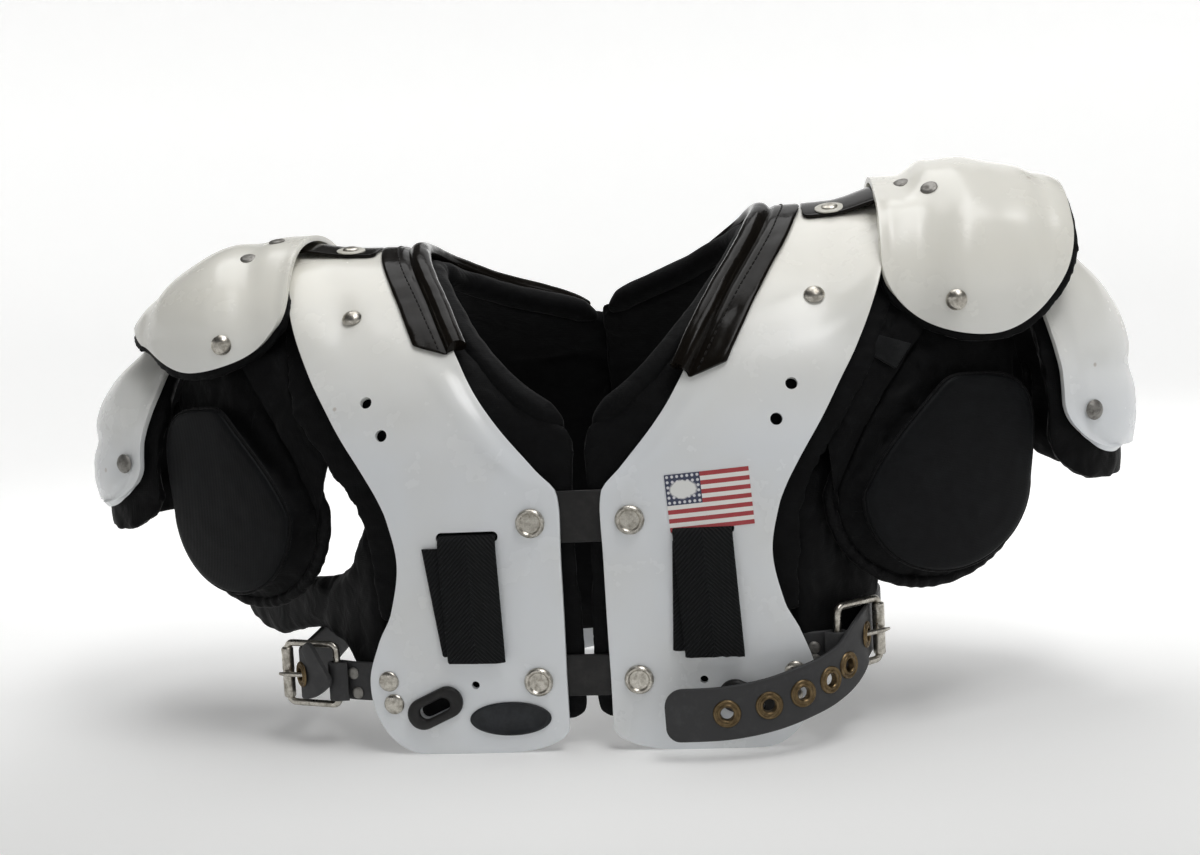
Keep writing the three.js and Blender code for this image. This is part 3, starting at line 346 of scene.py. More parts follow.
def cap_of(half, arch, valley):
    """Shoulder cap of one half: a flange on the strap, a ridge, and a crown that droops to the arm."""
    top, droop = half["cap_top"], half["cap_droop"]
    stretch = (top - CAP_HEM) / (CAP_CROWN - CAP_HEM)
    path = [(y, CAP_HEM + (z - CAP_HEM) * stretch) for y, z in CAP_PATH]
    on_strap = arch.at(ARCH_TOP, half["sign"] * CAP["flange_end"], GAP + STRAP["wall"])[2]
    flange = on_strap + half["cap_seat"] + half["cap_raise"] + PLATE - top

    def bulge(x, z):
        reach = np.abs(x)
        beyond = (reach - CAP["ridge"]) / (CAP["outer"] - CAP["ridge"])
        down = 1 - smoothstep(reach, CAP["flange_end"], CAP["ridge"])
        inner = flange * down * smoothstep(z, top - 30, top - 8)
        return np.where(reach > CAP["ridge"], -droop * beyond * beyond, inner)

    def relief(cap, s, x):
        from_crown = np.clip(np.abs(2 * s / cap.length - 1), 0, 1)
        low = smoothstep(from_crown, 0.25, 0.6)
        foot = lerp(CAP_RELIEF["crown_foot"], CAP_RELIEF["hem_foot"], from_crown)
        lift = lerp(-0.2 * low, lerp(0.25, 0.7, low), smoothstep(x, foot - 7, foot + 22)) * valley
        lift = lift - 0.28 * valley * hump(x, foot, CAP_RELIEF["valley_width"])
        groove = hump(x, CAP_RELIEF["groove"], CAP_RELIEF["groove_width"])
        lift = lift - CAP_RELIEF["groove_depth"] * groove + half["cap_raise"] * smoothstep(x, 212, 248)
        from_hem = np.maximum(0, np.minimum(s, cap.length - s))
        lift = lift - CAP_RELIEF["tuck"] * np.clip(1 - from_hem / CAP_RELIEF["tuck_run"], 0, 1) ** 2
        return lift + 1.3 * (1 - smoothstep(x, 153, 159)) * low

    return BentSheet(path, bulge, relief)


def plate_outline(arch):
    rows = PLATE_EDGES[:-1] + ((arch.length,) + PLATE_EDGES[-1][1:],)
    return Outline(rows, FOOT_CORNERS)


def liner_outline(half):
    rows = np.array(LINER_EDGES, float)
    inside = (rows[:, 0] > LINER_FLARE[0][0]) & (rows[:, 0] < LINER_FLARE[-1][0])
    rows[inside, 2] += half["flare"] * value_at(LINER_FLARE, 1, rows[inside, 0])
    return Outline(rows, LINER_CORNERS)


def cap_outline(cap):
    rows = [(s, CAP["inner"], CAP["outer"]) for s in (0, cap.length)]
    return Outline(rows, CAP_CORNERS)


def lining_outline(cap):
    """Outline of the cap's lining: past the cap's rim all round, and clear of the strap at the crown."""
    front = [(s, inner, CAP["outer"] + CAP["rim"]) for s, inner in LINING_INNER]
    back = [(cap.length - s, inner, outer) for s, inner, outer in reversed(front)]
    return Outline(front + back, CAP_CORNERS)


def arm_outline(half, rim=0.0, drop=0.0):
    """Outline of the arm cap as height above its hem and arc about its axis."""
    high = arm_height(half)
    arc = math.radians(ARM_PROFILE[0][1])
    shares = np.linspace(0, 1, 9)
    sweeps = (lerp(ARM["sweep"], ARM["top_sweep"], smoothstep(shares, 0.3, 0.95)) + rim) * arc
    rows = np.stack([lerp(-drop, high * (1 - rim / 200), shares), -sweeps, sweeps], -1)
    corner = (0.45 * ARM["sweep"] * arc, 0.26 * high)
    return Outline(rows, (corner, corner), ((8, 8), (8, 8)))


def arm_point(half, s, x, depth):
    radius = value_at(ARM_PROFILE, 1, np.clip(s / arm_height(half), 0, 1)) - depth
    angle = x / ARM_PROFILE[0][1]
    reach = half["sign"] * (ARM["axis"] + radius * np.cos(angle))
    return np.stack([reach, radius * np.sin(angle) + SET_BACK, half["arm_bottom"] + s], -1)


def egg_point(half, angle, share, depth, reach):
    """Egg pad: outline by angle, with its upper inner side cut away; depth 0 is its front panel."""
    turn = math.radians(EGG["turn"])
    angle, share, depth, reach = np.broadcast_arrays(angle, share, depth, reach)
    sine, cosine = np.sin(angle), np.cos(angle)
    broad = (sine > 0) & (cosine > 0)
    sine, cosine = (np.where(broad, np.abs(c) ** 0.55, c) for c in (sine, cosine))
    up = sine * np.where(sine > 0, EGG["high"] * reach, EGG["high"]) * share
    slant = lerp(0.2, 0.72, smoothstep(-cosine, -0.1, 0.95))
    along = cosine * half["egg_wide"] * share + slant * np.maximum(0, up) / reach
    out = EGG["wall"] / 2 - depth
    x = half["egg_x"] + along * math.cos(turn) + out * math.sin(turn)
    y = EGG["y"] + along * math.sin(turn) - out * math.cos(turn) + SET_BACK
    return np.stack([half["sign"] * x, y, EGG["z"] + up], -1)


def on_buckle(half, along, out, up):
    """Point of a buckle: along its frame towards the roller, out of the frame's plane, and up."""
    turn = math.radians(half["buckle_turn"])
    x = half["buckle_x"] + along * math.sin(turn) + out * math.cos(turn)
    y = BUCKLE["y"] + along * math.cos(turn) - out * math.sin(turn) + SET_BACK
    return np.stack(np.broadcast_arrays(half["sign"] * x, y, half["buckle_z"] + up), -1)


def belt_course(half):
    beside, through, tail = ([np.array(spot, float) for spot in run] for run in BELT_ENDS[half["name"]])
    side, back = np.array([half["sign"], 1, 1]), np.array([0, SET_BACK, 0])
    rows = [side * spot + back for spot in (*BELT_ROUTE, *beside)]
    rows += [on_buckle(half, *spot) for spot in through] + [side * spot + back for spot in tail]
    return Course(rows)


# Modelling tools

def pick(piece):
    bpy.ops.object.select_all(action="DESELECT")
    piece.select_set(True)
    bpy.context.view_layer.objects.active = piece


def points_of(piece):
    flat = np.empty(len(piece.data.vertices) * 3)
    piece.data.vertices.foreach_get("co", flat)
    return flat.reshape(-1, 3)


def normals_of(piece):
    flat = np.empty(len(piece.data.vertices) * 3)
    piece.data.vertices.foreach_get("normal", flat)
    return flat.reshape(-1, 3)


def set_points(piece, points):
    piece.data.vertices.foreach_set("co", np.ascontiguousarray(points, float).ravel())
    piece.data.update()


def lay_grid(name, rows, columns, place, chart=None, flip=False):
    """A grid laid on a surface: place(along, across) gives millimetres, chart its flat pattern."""
    bpy.ops.object.select_all(action="DESELECT")
    bpy.ops.mesh.primitive_grid_add(x_subdivisions=columns, y_subdivisions=rows, size=2)
    piece = bpy.context.active_object
    piece.name = piece.data.name = name
    share = (points_of(piece)[:, :2] + 1) / 2
    across, along = share[:, 0], share[:, 1]
    set_points(piece, place(along, across) * MM)
    flat = np.stack(chart(along, across), -1) * MM if chart else share
    corners = np.empty(len(piece.data.loops), int)
    piece.data.loops.foreach_get("vertex_index", corners)
    piece.data.uv_layers[0].data.foreach_set("uv", flat[corners].ravel())
    if flip:
        edit(piece, "flip_normals")
    return piece


def edit(piece, *steps):
    """Runs mesh operators on all of a piece in edit mode: names, or (name, settings)."""
    pick(piece)
    bpy.ops.object.mode_set(mode="EDIT")
    bpy.ops.mesh.select_all(action="SELECT")
    for step in steps:
        name, settings = step if isinstance(step, tuple) else (step, {})
        getattr(bpy.ops.mesh, name)(**settings)
    bpy.ops.object.mode_set(mode="OBJECT")


def lay_tube(name, rows, columns, place, chart=None, capped=True):
    """A grid rolled up across, its seam welded and its ends closed."""
    piece = lay_grid(name, rows, columns, place, chart)
    steps = [("remove_doubles", {"threshold": 2e-6})]
    if capped:
        steps += [("select_all", {"action": "DESELECT"}), "select_non_manifold", ("fill_holes", {"sides": 0})]
    edit(piece, *steps, ("select_all", {"action": "SELECT"}), ("normals_make_consistent", {"inside": False}))
    return piece


def lathe(name, profile, sides=40):
    """A solid turned about Z from (radius, height) pairs that run from the top to the foot."""
    course = np.asarray(profile, float)
    run = np.concatenate([[0], np.cumsum(np.linalg.norm(np.diff(course, axis=0), axis=1))])

    def place(along, across):
        level = np.rint(along * (len(course) - 1)).astype(int)
        angle = across * math.tau
        radius = course[level, 0]
        return np.stack([radius * np.cos(angle), radius * np.sin(angle), course[level, 1]], -1)

    piece = lay_tube(name, len(course) - 1, sides, place, lambda a, c: (c * run[-1], a * run[-1]))
    smooth(piece)
    return piece


def modify(piece, kind, **settings):
    """Adds a modifier with these settings and applies it."""
    pick(piece)
    modifier = piece.modifiers.new(kind.title(), kind)
    for name, value in settings.items():
        setattr(modifier, name, value)
    bpy.ops.object.modifier_apply(modifier=modifier.name)


def thicken(piece, wall, edge, offset=-1, even=True):
    """Gives a sheet its wall, inwards from its outer face, and rounds its rims."""
    modify(piece, "SOLIDIFY", thickness=wall * MM, offset=offset, use_even_offset=even)
    if edge:
        limit = {"limit_method": "ANGLE", "angle_limit": math.radians(50)}
        modify(piece, "BEVEL", width=edge * MM, segments=3, **limit)
    smooth(piece)


def smooth(piece, angle=38):
    pick(piece)
    bpy.ops.object.shade_smooth_by_angle(angle=math.radians(angle))


def cut(piece, cutters):
    """Cuts holes; the cutters are used up."""
    for cutter in cutters:
        modify(piece, "BOOLEAN", operation="DIFFERENCE", solver="EXACT", object=cutter)
        bpy.data.objects.remove(cutter)
    smooth(piece)


def moved(piece, matrix):
    """Moves a piece's mesh, in millimetres, and leaves its origin where it was."""
    shift = matrix.copy()
    shift.translation = shift.translation * MM
    piece.data.transform(shift)
    if shift.determinant() < 0:
        edit(piece, "flip_normals")
    return piece


def copied(piece, name, matrix):
    copy = piece.copy()
    copy.data = piece.data.copy()
    copy.name = copy.data.name = name
    bpy.context.collection.objects.link(copy)
    return moved(copy, matrix)


def joined(name, pieces):
    bpy.ops.object.select_all(action="DESELECT")
    for piece in pieces:
        piece.select_set(True)
    bpy.context.view_layer.objects.active = pieces[0]
    bpy.ops.object.join()
    pieces[0].name = pieces[0].data.name = name
    return pieces[0]


def crumple(piece, height, size, seed, where=None, stretch=(1, 1, 1)):
    """Creases a skin along its normals: sharp valleys between soft lumps."""
    points, normals = points_of(piece), normals_of(piece)
    weight = where(points / MM) if where else np.ones(len(points))
    scaled = points / MM / size * np.asarray(stretch) + seed
    coarse = np.array([abs(noise.noise(Vector(p))) for p in scaled])
    fine = np.array([abs(noise.noise(Vector(p * 2.1))) for p in scaled])
    lumps = coarse + 0.5 * fine
    set_points(piece, points + normals * ((lumps - 0.3) * weight * height * MM)[:, None])


def reskin(piece, voxel):
    """Gives a solid an even skin of small faces, which rounds its edges."""
    pick(piece)
    piece.data.remesh_voxel_size = voxel * MM
    bpy.ops.object.voxel_remesh()


def inflate(piece, settings, voxel, reach, shy=None, shy_reach=0.0):
    """Blows a pad up as a cloth skin under pressure.

    No point moves further than reach, or than shy_reach where shy(points, normals) holds.
    """
    reskin(piece, voxel)
    start, normals = points_of(piece), normals_of(piece)
    cloth = piece.modifiers.new("Cloth", "CLOTH")
    cloth.settings.quality = 5
    cloth.settings.mass = 0.3
    cloth.settings.tension_stiffness = settings.stiffness
    cloth.settings.compression_stiffness = settings.stiffness
    cloth.settings.shear_stiffness = settings.stiffness / 3
    cloth.settings.bending_stiffness = 0.4
    cloth.settings.use_pressure = True
    cloth.settings.uniform_pressure_force = settings.pressure
    cloth.settings.effector_weights.gravity = 0
    cloth.collision_settings.use_collision = False
    for number in range(1, settings.frames + 1):
        bpy.context.scene.frame_set(number)
    bpy.ops.object.modifier_apply(modifier=cloth.name)
    bpy.context.scene.frame_set(1)
    shift = points_of(piece) - start
    limit = np.full(len(start), reach * MM)
    if shy:
        limit[shy(start / MM, normals)] = shy_reach * MM
    length = np.maximum(np.linalg.norm(shift, axis=1), 1e-9)
    set_points(piece, start + shift * np.minimum(1, limit / length)[:, None])
    modify(piece, "SUBSURF", levels=1, render_levels=1)
    pick(piece)
    bpy.ops.object.shade_smooth()


def settle(piece, finish, slot, *nodes):
    """Finishes a piece: its material, its body and the solids it stands for. The slot is not used."""
    piece.data.materials.clear()
    piece.data.materials.append(bpy.data.materials[finish])
    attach(piece, "root")
    if nodes:
        piece.name = piece.data.name = f"{nodes[0]}_shape"
        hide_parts(*nodes)
    return piece


def ring_of(wide, tall, radius, corner=5, side=6):
    """Closed outline of a rounded rectangle as points, with some along its wide sides."""
    points = []
    for k, (i, j) in enumerate(((1, 1), (-1, 1), (-1, -1), (1, -1))):
        turn = np.radians(np.linspace(90 * k, 90 * k + 90, corner))
        centre = np.array([i * (wide / 2 - radius), j * (tall / 2 - radius)])
        points.append(centre + radius * np.stack([np.cos(turn), np.sin(turn)], -1))
        if k % 2 == 0:
            reach = np.linspace(i, -i, side + 2)[1:-1] * (wide / 2 - radius)
            points.append(np.stack([reach, np.full(side, j * tall / 2)], -1))
    return np.vstack(points)


def around(ring, across):
    return ring[np.rint(across * len(ring)).astype(int) % len(ring)]


def disc(radius, sides):
    """Closed outline of a circle as points."""
    turn = np.radians(np.linspace(0, 360, sides, endpoint=False))
    return radius * np.stack([np.cos(turn), np.sin(turn)], -1)


def oval(long, tall, corner=5):
    """Closed outline of a slot with round ends."""
    nearly_half = tall / 2 - 0.01
    return ring_of(long, tall, nearly_half, corner)


def prism(name, ring, reach):
    """A straight solid on a flat outline, as far above it as below."""
    def place(along, across):
        flat = around(ring, across)
        return np.stack([flat[:, 0], flat[:, 1], lerp(-reach, reach, along)], -1)

    return lay_tube(name, 1, len(ring), place)


def tube_along(name, course, radius, rows, sides=14, from_end=0.0):
    """A round tube along a course; radius may be a function of the share of its length and the angle."""
    def place(along, across):
        point, tangent = course.read(along * course.length)
        side = np.cross(tangent, (0.13, 0.31, 0.94))
        side /= np.linalg.norm(side, axis=-1, keepdims=True)
        other = np.cross(tangent, side)
        angle = across * math.tau
        size = radius(along, angle) if callable(radius) else np.full(len(along), float(radius))
        if from_end:
            size = size * np.sqrt(np.clip(np.minimum(along, 1 - along) / from_end, 0.04, 1))
        return point + (side * np.cos(angle)[:, None] + other * np.sin(angle)[:, None]) * size[:, None]

    piece = lay_tube(name, rows, sides, place, lambda a, c: (c * 20, a * course.length))
    smooth(piece, 60)
    return piece


# Materials

def linear(value):
    """Linear colour of an sRGB hex value."""
    channels = [((value >> shift) & 255) / 255 for shift in (16, 8, 0)]
    return tuple(c / 12.92 if c <= 0.04045 else ((c + 0.055) / 1.055) ** 2.4 for c in channels) + (1.0,)


def add(tree, kind, inputs=None, **settings):
    """Adds a shader node: its settings, and its inputs as values or as links from other nodes."""
    node = tree.nodes.new("ShaderNode" + kind)
    for name, value in settings.items():
        setattr(node, name, value)
    for key, value in (inputs or {}).items():
        if isinstance(value, bpy.types.NodeSocket):
            tree.links.new(value, node.inputs[key])
        else:
            node.inputs[key].default_value = value
    return node


def new_material(name, **inputs):
    material = bpy.data.materials.new(name)
    material.use_nodes = True
    shader = material.node_tree.nodes["Principled BSDF"]
    for key, value in inputs.items():
        shader.inputs[key.replace("_", " ")].default_value = value
    return material.node_tree, shader


def per_mm(size):
    """Texture scale for features of a size in millimetres, on coordinates in metres."""
    return 1 / (size * MM)


def feed(tree, shader, **sources):
    """Links outputs of nodes to the shader's inputs."""
    for key, source in sources.items():
        tree.links.new(source, shader.inputs[key.replace("_", " ")])


def cloudy(tree, place, size, detail, roughness=0.5, distortion=0.0):
    """Noise with features of a size in millimetres."""
    inputs = {"Vector": place, "Scale": per_mm(size), "Detail": detail, "Roughness": roughness}
    return add(tree, "TexNoise", {**inputs, "Distortion": distortion}).outputs[0]


def ranged(tree, value, low, high, to_low=0.0, to_high=1.0):
    """Maps the range from low to high onto another, held at its ends."""
    inputs = {"Value": value, "From Min": low, "From Max": high, "To Min": to_low, "To Max": to_high}
    return add(tree, "MapRange", inputs).outputs[0]


def blend(tree, share, *tones):
    """Mixes two colours, each a hex value, a linear colour or the output of a node."""
    first, second = (linear(tone) if isinstance(tone, int) else tone for tone in tones)
    return add(tree, "Mix", {0: share, 6: first, 7: second}, data_type="RGBA").outputs[2]


def calc(tree, operation, *values):
    return add(tree, "Math", dict(enumerate(values)), operation=operation).outputs[0]


def raised(tree, height, strength, distance, under=None):
    """Relief over another relief; its distance is in millimetres."""
    inputs = {"Height": height, "Strength": strength, "Distance": distance * MM}
    if under:
        inputs["Normal"] = under
    return add(tree, "Bump", inputs).outputs[0]


def weathered(tree, shader, tones, size, detail, wear, gloss):
    """Two tones and an uneven gloss that follow one noise. Returns the coordinates and the noise."""
    place = add(tree, "TexCoord").outputs["Object"]
    rub = cloudy(tree, place, size, detail, 0.7)
    colour = blend(tree, ranged(tree, rub, *wear), *tones)
    feed(tree, shader, Base_Color=colour, Roughness=ranged(tree, rub, 0.3, 0.7, *gloss))
    return place, rub


def make_polyethylene(name):
    # Injection-moulded polyethylene: milky white that scatters light, a lighter ivory towards the shoulder
    # and a cooler, darker white below as painted light from above, a soft uneven gloss, a fine grain that
    # shows in the highlights, and a few brown specks
    tree, shader = new_material(name, Subsurface_Weight=0.08, Subsurface_Scale=4 * MM)
    shader.inputs["Subsurface Radius"].default_value = (1.0, 0.95, 0.85)
    place = add(tree, "TexCoord").outputs["Object"]
    height = add(tree, "SeparateXYZ", {0: place}).outputs["Z"]
    # Painted light from above: lighter and warmer towards the shoulder, cooler and darker below
    white = blend(tree, ranged(tree, height, 150 * MM, 235 * MM), 0xE2E5E8, 0xEDEBE2)
    aged = ranged(tree, cloudy(tree, place, 55, 3), 0.45, 0.75, 0, 0.3)
    cells = add(tree, "TexVoronoi", {"Vector": place, "Scale": per_mm(38)}).outputs["Distance"]
    speck = ranged(tree, cells, 0.04, 0.025, 0, 0.4)
    tone = blend(tree, speck, blend(tree, aged, white, 0xD8D6CE), 0x8A6F55)
    gloss = ranged(tree, cloudy(tree, place, 28, 4, 0.6), 0.3, 0.7, 0.2, 0.3)
    grain = raised(tree, cloudy(tree, place, 1.4, 3), 0.05, 0.1)
    soft = raised(tree, cloudy(tree, place, 24, 2), 0.07, 1, grain)
    feed(tree, shader, Base_Color=tone, Roughness=gloss, Normal=soft)


def make_cloth(name, dark, light, period, crease, rough, sheen):
    # Woven nylon over foam: near black, a fine grid of threads, soft creases that catch light, and dust
    tree, shader = new_material(
        name, Sheen_Weight=sheen, Sheen_Roughness=0.45, Roughness=rough, Specular_IOR_Level=0.1)
    place = add(tree, "TexCoord").outputs["Object"]
    axes = add(tree, "SeparateXYZ", {0: place}).outputs
    threads = []
    for run in (calc(tree, "ADD", axes["X"], axes["Y"]), axes["Z"]):
        thread = calc(tree, "PINGPONG", run, period * MM / 2)
        threads.append(calc(tree, "MULTIPLY", thread, 2 / (period * MM)))
    weave = calc(tree, "MULTIPLY", *threads)
    dust = ranged(tree, cloudy(tree, place, 9, 6, 0.65), 0.42, 0.78)
    folds = ranged(tree, cloudy(tree, place, crease, 3, 0.5, 0.6), 0.35, 0.65)
    fine = raised(tree, weave, 0.3, 0.25, raised(tree, folds, 0.3, 1.4))
    feed(tree, shader, Base_Color=blend(tree, dust, dark, light), Normal=fine)


def make_vinyl(name, tone, worn, rough, shine):
    # Coated vinyl: dark and satin, with leather grain, slow ripples and paler rubbed places
    tree, shader = new_material(name, Specular_IOR_Level=shine)
    place, _ = weathered(tree, shader, (tone, worn), 7, 7, (0.5, 0.78), (rough, rough + 0.08))
    cells = add(tree, "TexVoronoi", {"Vector": place, "Scale": per_mm(1.3)}, feature="SMOOTH_F1")
    ripple = raised(tree, cloudy(tree, place, 8, 2), 0.1, 1)
    feed(tree, shader, Normal=raised(tree, cells.outputs["Distance"], 0.06, 0.3, ripple))


def make_webbing(name):
    # Herringbone nylon webbing: ribs that meet in a V along its middle, dull black, with a painted highlight
    # that greys the rib tops and painted shade in the grooves
    tree, shader = new_material(name, Roughness=0.7, Specular_IOR_Level=0.15)
    rib = 1.1 * MM
    axes = add(tree, "SeparateXYZ", {0: add(tree, "TexCoord").outputs["UV"]}).outputs
    wing = calc(tree, "PINGPONG", axes["X"], WEBBING["width"] / 2 * MM)
    slope = calc(tree, "ADD", axes["Y"], wing)
    high = ranged(tree, calc(tree, "PINGPONG", slope, rib), 0, rib)
    # Painted highlight on the rib tops and painted shade in the grooves, following the ribs' height
    feed(tree, shader, Base_Color=blend(tree, high, 0x08080A, 0x1D1E1F), Normal=raised(tree, high, 0.8, 0.6))


def make_metal(name, tone, tarnish, rough):
    # Plated steel handled for years: soft reflections, tarnish in patches and shallow dents
    tree, shader = new_material(name, Metallic=1.0)
    _, patch = weathered(tree, shader, (tone, tarnish), 3.2, 6, (0.45, 0.68), (rough, rough + 0.25))
    feed(tree, shader, Normal=raised(tree, patch, 0.15, 0.3))


def make_hard_plastic(name, tone, dusty, rough):
    # Moulded plastic: smooth, a little dusty, finely pitted
    tree, shader = new_material(name, Specular_IOR_Level=0.3)
    place, _ = weathered(tree, shader, (tone, dusty), 11, 7, (0.45, 0.8), (rough, rough + 0.15))
    feed(tree, shader, Normal=raised(tree, cloudy(tree, place, 0.9, 2), 0.12, 0.2))


def make_flag_print(name):
    # Printed vinyl sticker with the stripes and the starred canton, rubbed through to white in the canton
    tree, shader = new_material(name, Roughness=0.38, Coat_Weight=0.2)
    coords = add(tree, "TexCoord").outputs
    stripes, canton_wide, canton_low = 13, 0.42, 6 / 13

    def apart(spot, centre):
        return add(tree, "VectorMath", {0: spot, 1: centre}, operation="DISTANCE").outputs["Value"]

    axes = add(tree, "SeparateXYZ", {0: coords["UV"]}).outputs
    phase = calc(tree, "FRACT", calc(tree, "MULTIPLY", axes["Y"], stripes / 2))
    field = blend(tree, calc(tree, "LESS_THAN", phase, 0.5), 0xE9E6E2, 0xA8383C)
    left = calc(tree, "LESS_THAN", axes["X"], canton_wide)
    canton = calc(tree, "MULTIPLY", left, calc(tree, "GREATER_THAN", axes["Y"], canton_low))
    star_net = {"Vector": coords["UV"], "Scale": (7 / canton_wide, 6 / 0.54, 1), "Location": (0, 0.87, 0)}
    spread = add(tree, "Mapping", star_net).outputs[0]
    cell = add(tree, "VectorMath", {0: spread}, operation="FRACTION").outputs[0]
    star = ranged(tree, apart(cell, (0.5, 0.5, 0.0)), 0.34, 0.22)
    print_tone = blend(tree, canton, field, blend(tree, star, 0x343A55, 0xDADADD))
    tear = cloudy(tree, coords["Object"], 7, 5, 0.6)
    ragged = calc(tree, "MULTIPLY_ADD", tear, 0.12, apart(coords["UV"], (0.2, 0.73, 0.0)))
    torn = calc(tree, "MULTIPLY", ranged(tree, ragged, 0.235, 0.205), canton)
    feed(tree, shader, Base_Color=blend(tree, torn, print_tone, 0xE6E6E4))


MATERIALS = {
    "moulded_polyethylene": (make_polyethylene, ()),
    "padded_nylon_cloth": (make_cloth, (0x060607, 0x0E0F10, 1.1, 13, 0.66, 0.03)),
    "coated_nylon_panel": (make_cloth, (0x090A0C, 0x0F1113, 0.8, 60, 0.5, 0.02)),
    "woven_binding_tape": (make_cloth, (0x060607, 0x101011, 1.6, 5, 0.6, 0.03)),
    "elastic_band": (make_cloth, (0x111213, 0x242526, 1.4, 8, 0.7, 0.1)),
    "glossy_binding_vinyl": (make_vinyl, (0x120F0C, 0x191510, 0.15, 0.12)),
    "matte_belt_vinyl": (make_vinyl, (0x353536, 0x434344, 0.5, 0.3)),
    "herringbone_webbing": (make_webbing, ()),
    "worn_nickel_plate": (make_metal, (0xC9C5BC, 0x8B857A, 0.2)),
    "dull_nickel_plate": (make_metal, (0x8F8D89, 0x6B6863, 0.42)),
    "aged_brass": (make_metal, (0x76654A, 0x524433, 0.3)),
    "moulded_dark_plastic": (make_hard_plastic, (0x1B1A1A, 0x302F2E, 0.38)),
    "pressed_dark_badge": (make_hard_plastic, (0x1C1E21, 0x33363A, 0.4)),
    "clear_nylon_washer": (make_hard_plastic, (0xC9C6BB, 0xDEDCD4, 0.3)),
    "bonded_sewing_thread": (make_cloth, (0x0A0908, 0x2A2521, 0.3, 3, 0.5, 0.1)),
    "printed_flag_vinyl": (make_flag_print, ()),
}


# Settings

class PlateSettings(bpy.types.PropertyGroup):
    edge_round: bpy.props.FloatProperty(
        name="Edge Round", description="Round of the plates' rims in millimetres", default=1.1, min=0.0)
    neck_turn: bpy.props.FloatProperty(
        name="Neck Turn", description="How far the neck edge turns back in millimetres", default=2.2, min=0.0)
    arm_flare: bpy.props.FloatProperty(
        name="Arm Flare", description="Lift of the rim beside the cap in millimetres", default=4.0, min=0.0)
    cap_valley: bpy.props.FloatProperty(
        name="Cap Valley", description="Depth of the cap's valley in millimetres", default=5.0, min=0.0)


class PaddingSettings(bpy.types.PropertyGroup):
    voxel: bpy.props.FloatProperty(
        name="Skin Step", description="Size of the skin's faces in millimetres", default=4.5, min=2.0)
    pressure: bpy.props.FloatProperty(
        name="Pressure", description="Pressure that fills the pads", default=4.0, min=0.0)
    stiffness: bpy.props.FloatProperty(
        name="Stiffness", description="Stretch stiffness of the pads' cloth", default=12.0, min=0.0)
    frames: bpy.props.IntProperty(
        name="Frames", description="Frames that the pads are filled for", default=18, min=1)
    crease: bpy.props.FloatProperty(
        name="Crease", description="Height of the creases in millimetres", default=1.8, min=0.0)


class StageSettings(bpy.types.PropertyGroup):
    floor: bpy.props.FloatVectorProperty(
        name="Floor", description="Colour of the floor", subtype="COLOR", size=3, default=(0.9, 0.9, 0.89))
    lens: bpy.props.FloatProperty(
        name="Lens", description="Focal length in millimetres", default=45.0, min=1.0, unit="CAMERA")
    key: bpy.props.FloatProperty(
        name="Key Light", description="Power of the key light", default=11.0, min=0.0, unit="POWER")
    sky: bpy.props.FloatProperty(
        name="Sky", description="Strength of the light from all round", default=0.06, min=0.0)


# Pieces

class MakeMaterials(bpy.types.Operator):
    """Mix the materials of all the pieces"""

    bl_idname = "shoulder_pads.materials"
    bl_label = "Materials"

    def execute(self, context):
        for name, (make, values) in MATERIALS.items():
            make(name, *values)
        return {"FINISHED"}


class OfEachHalf:
    """Makes an operator's pieces for the left half, then for the right."""

    def execute(self, context):
        for half in HALVES:
            self.make(half, context.scene)
        return {"FINISHED"}


class MakeArchPlates(OfEachHalf, bpy.types.Operator):
    """Mould the two white arch plates, with their vents, webbing slots and hook slots"""

    bl_idname = "shoulder_pads.arch_plates"
    bl_label = "Arch Plates"

    def make(self, half, scene):
        settings = scene.pads_plates
        sign, arch = half["sign"], arch_of(half)
        outline = plate_outline(arch)

        def place(along, across):
            s, x = outline.lay(along, across)
            from_neck = x - outline.reach(0, s)
            from_arm = outline.reach(1, s) - x
            from_trim = half["trim_front"] - s
            bare = smoothstep(s, 132, 150) * smoothstep(from_trim, 4, 16)
            turned_back = settings.neck_turn * (1 - smoothstep(from_neck, 0, 11))
            lift = bare * (0.8 * hump(from_neck, 14, 5) - turned_back)
            by_cap = smoothstep(s, 200, 238) * (1 - smoothstep(s, 262, 292))
            lift = lift + by_cap * settings.arm_flare * (1 - smoothstep(from_arm, 0, 24))
            lift = lift - by_cap * hump(from_arm, 26, 10)
            return arch.at(s, sign * x, lift)

        name = f"arch_plate_{half['name']}"
        plate = lay_grid(name, 190, 36, place, flip=sign < 0)
        thicken(plate, PLATE, settings.edge_round)
        cutters = []
        for x, z, radius in VENTS:
            drill = prism("vent", disc(radius, 32), CUTTER_REACH)
            cutters.append(moved(drill, arch.facing(arch.station(z), sign * x)))
        middle = half["webbing_x"] + WEBBING["width"] / 2
        slot = prism("slot", ring_of(WEBBING["width"] + 2, WEBBING["slot_height"], 2.6), CUTTER_REACH)
        cutters.append(moved(slot, arch.facing(arch.station(WEBBING["slot_z"]), sign * middle)))
        hook = prism("slot", oval(GUARD["slot_long"], GUARD["slot_tall"]), CUTTER_REACH)
        cutters.append(moved(hook, guard_seat(half, arch)))
        cut(plate, [joined("cutter", cutters)])
        settle(plate, "moulded_polyethylene", "white_plate", name)


def guard_seat(half, arch, lift=0.0):
    seat = arch.facing(arch.station(GUARD["z"]), half["sign"] * GUARD["x"], lift)
    return seat @ Matrix.Rotation(-half["sign"] * math.radians(GUARD["turn"]), 4, "Z")


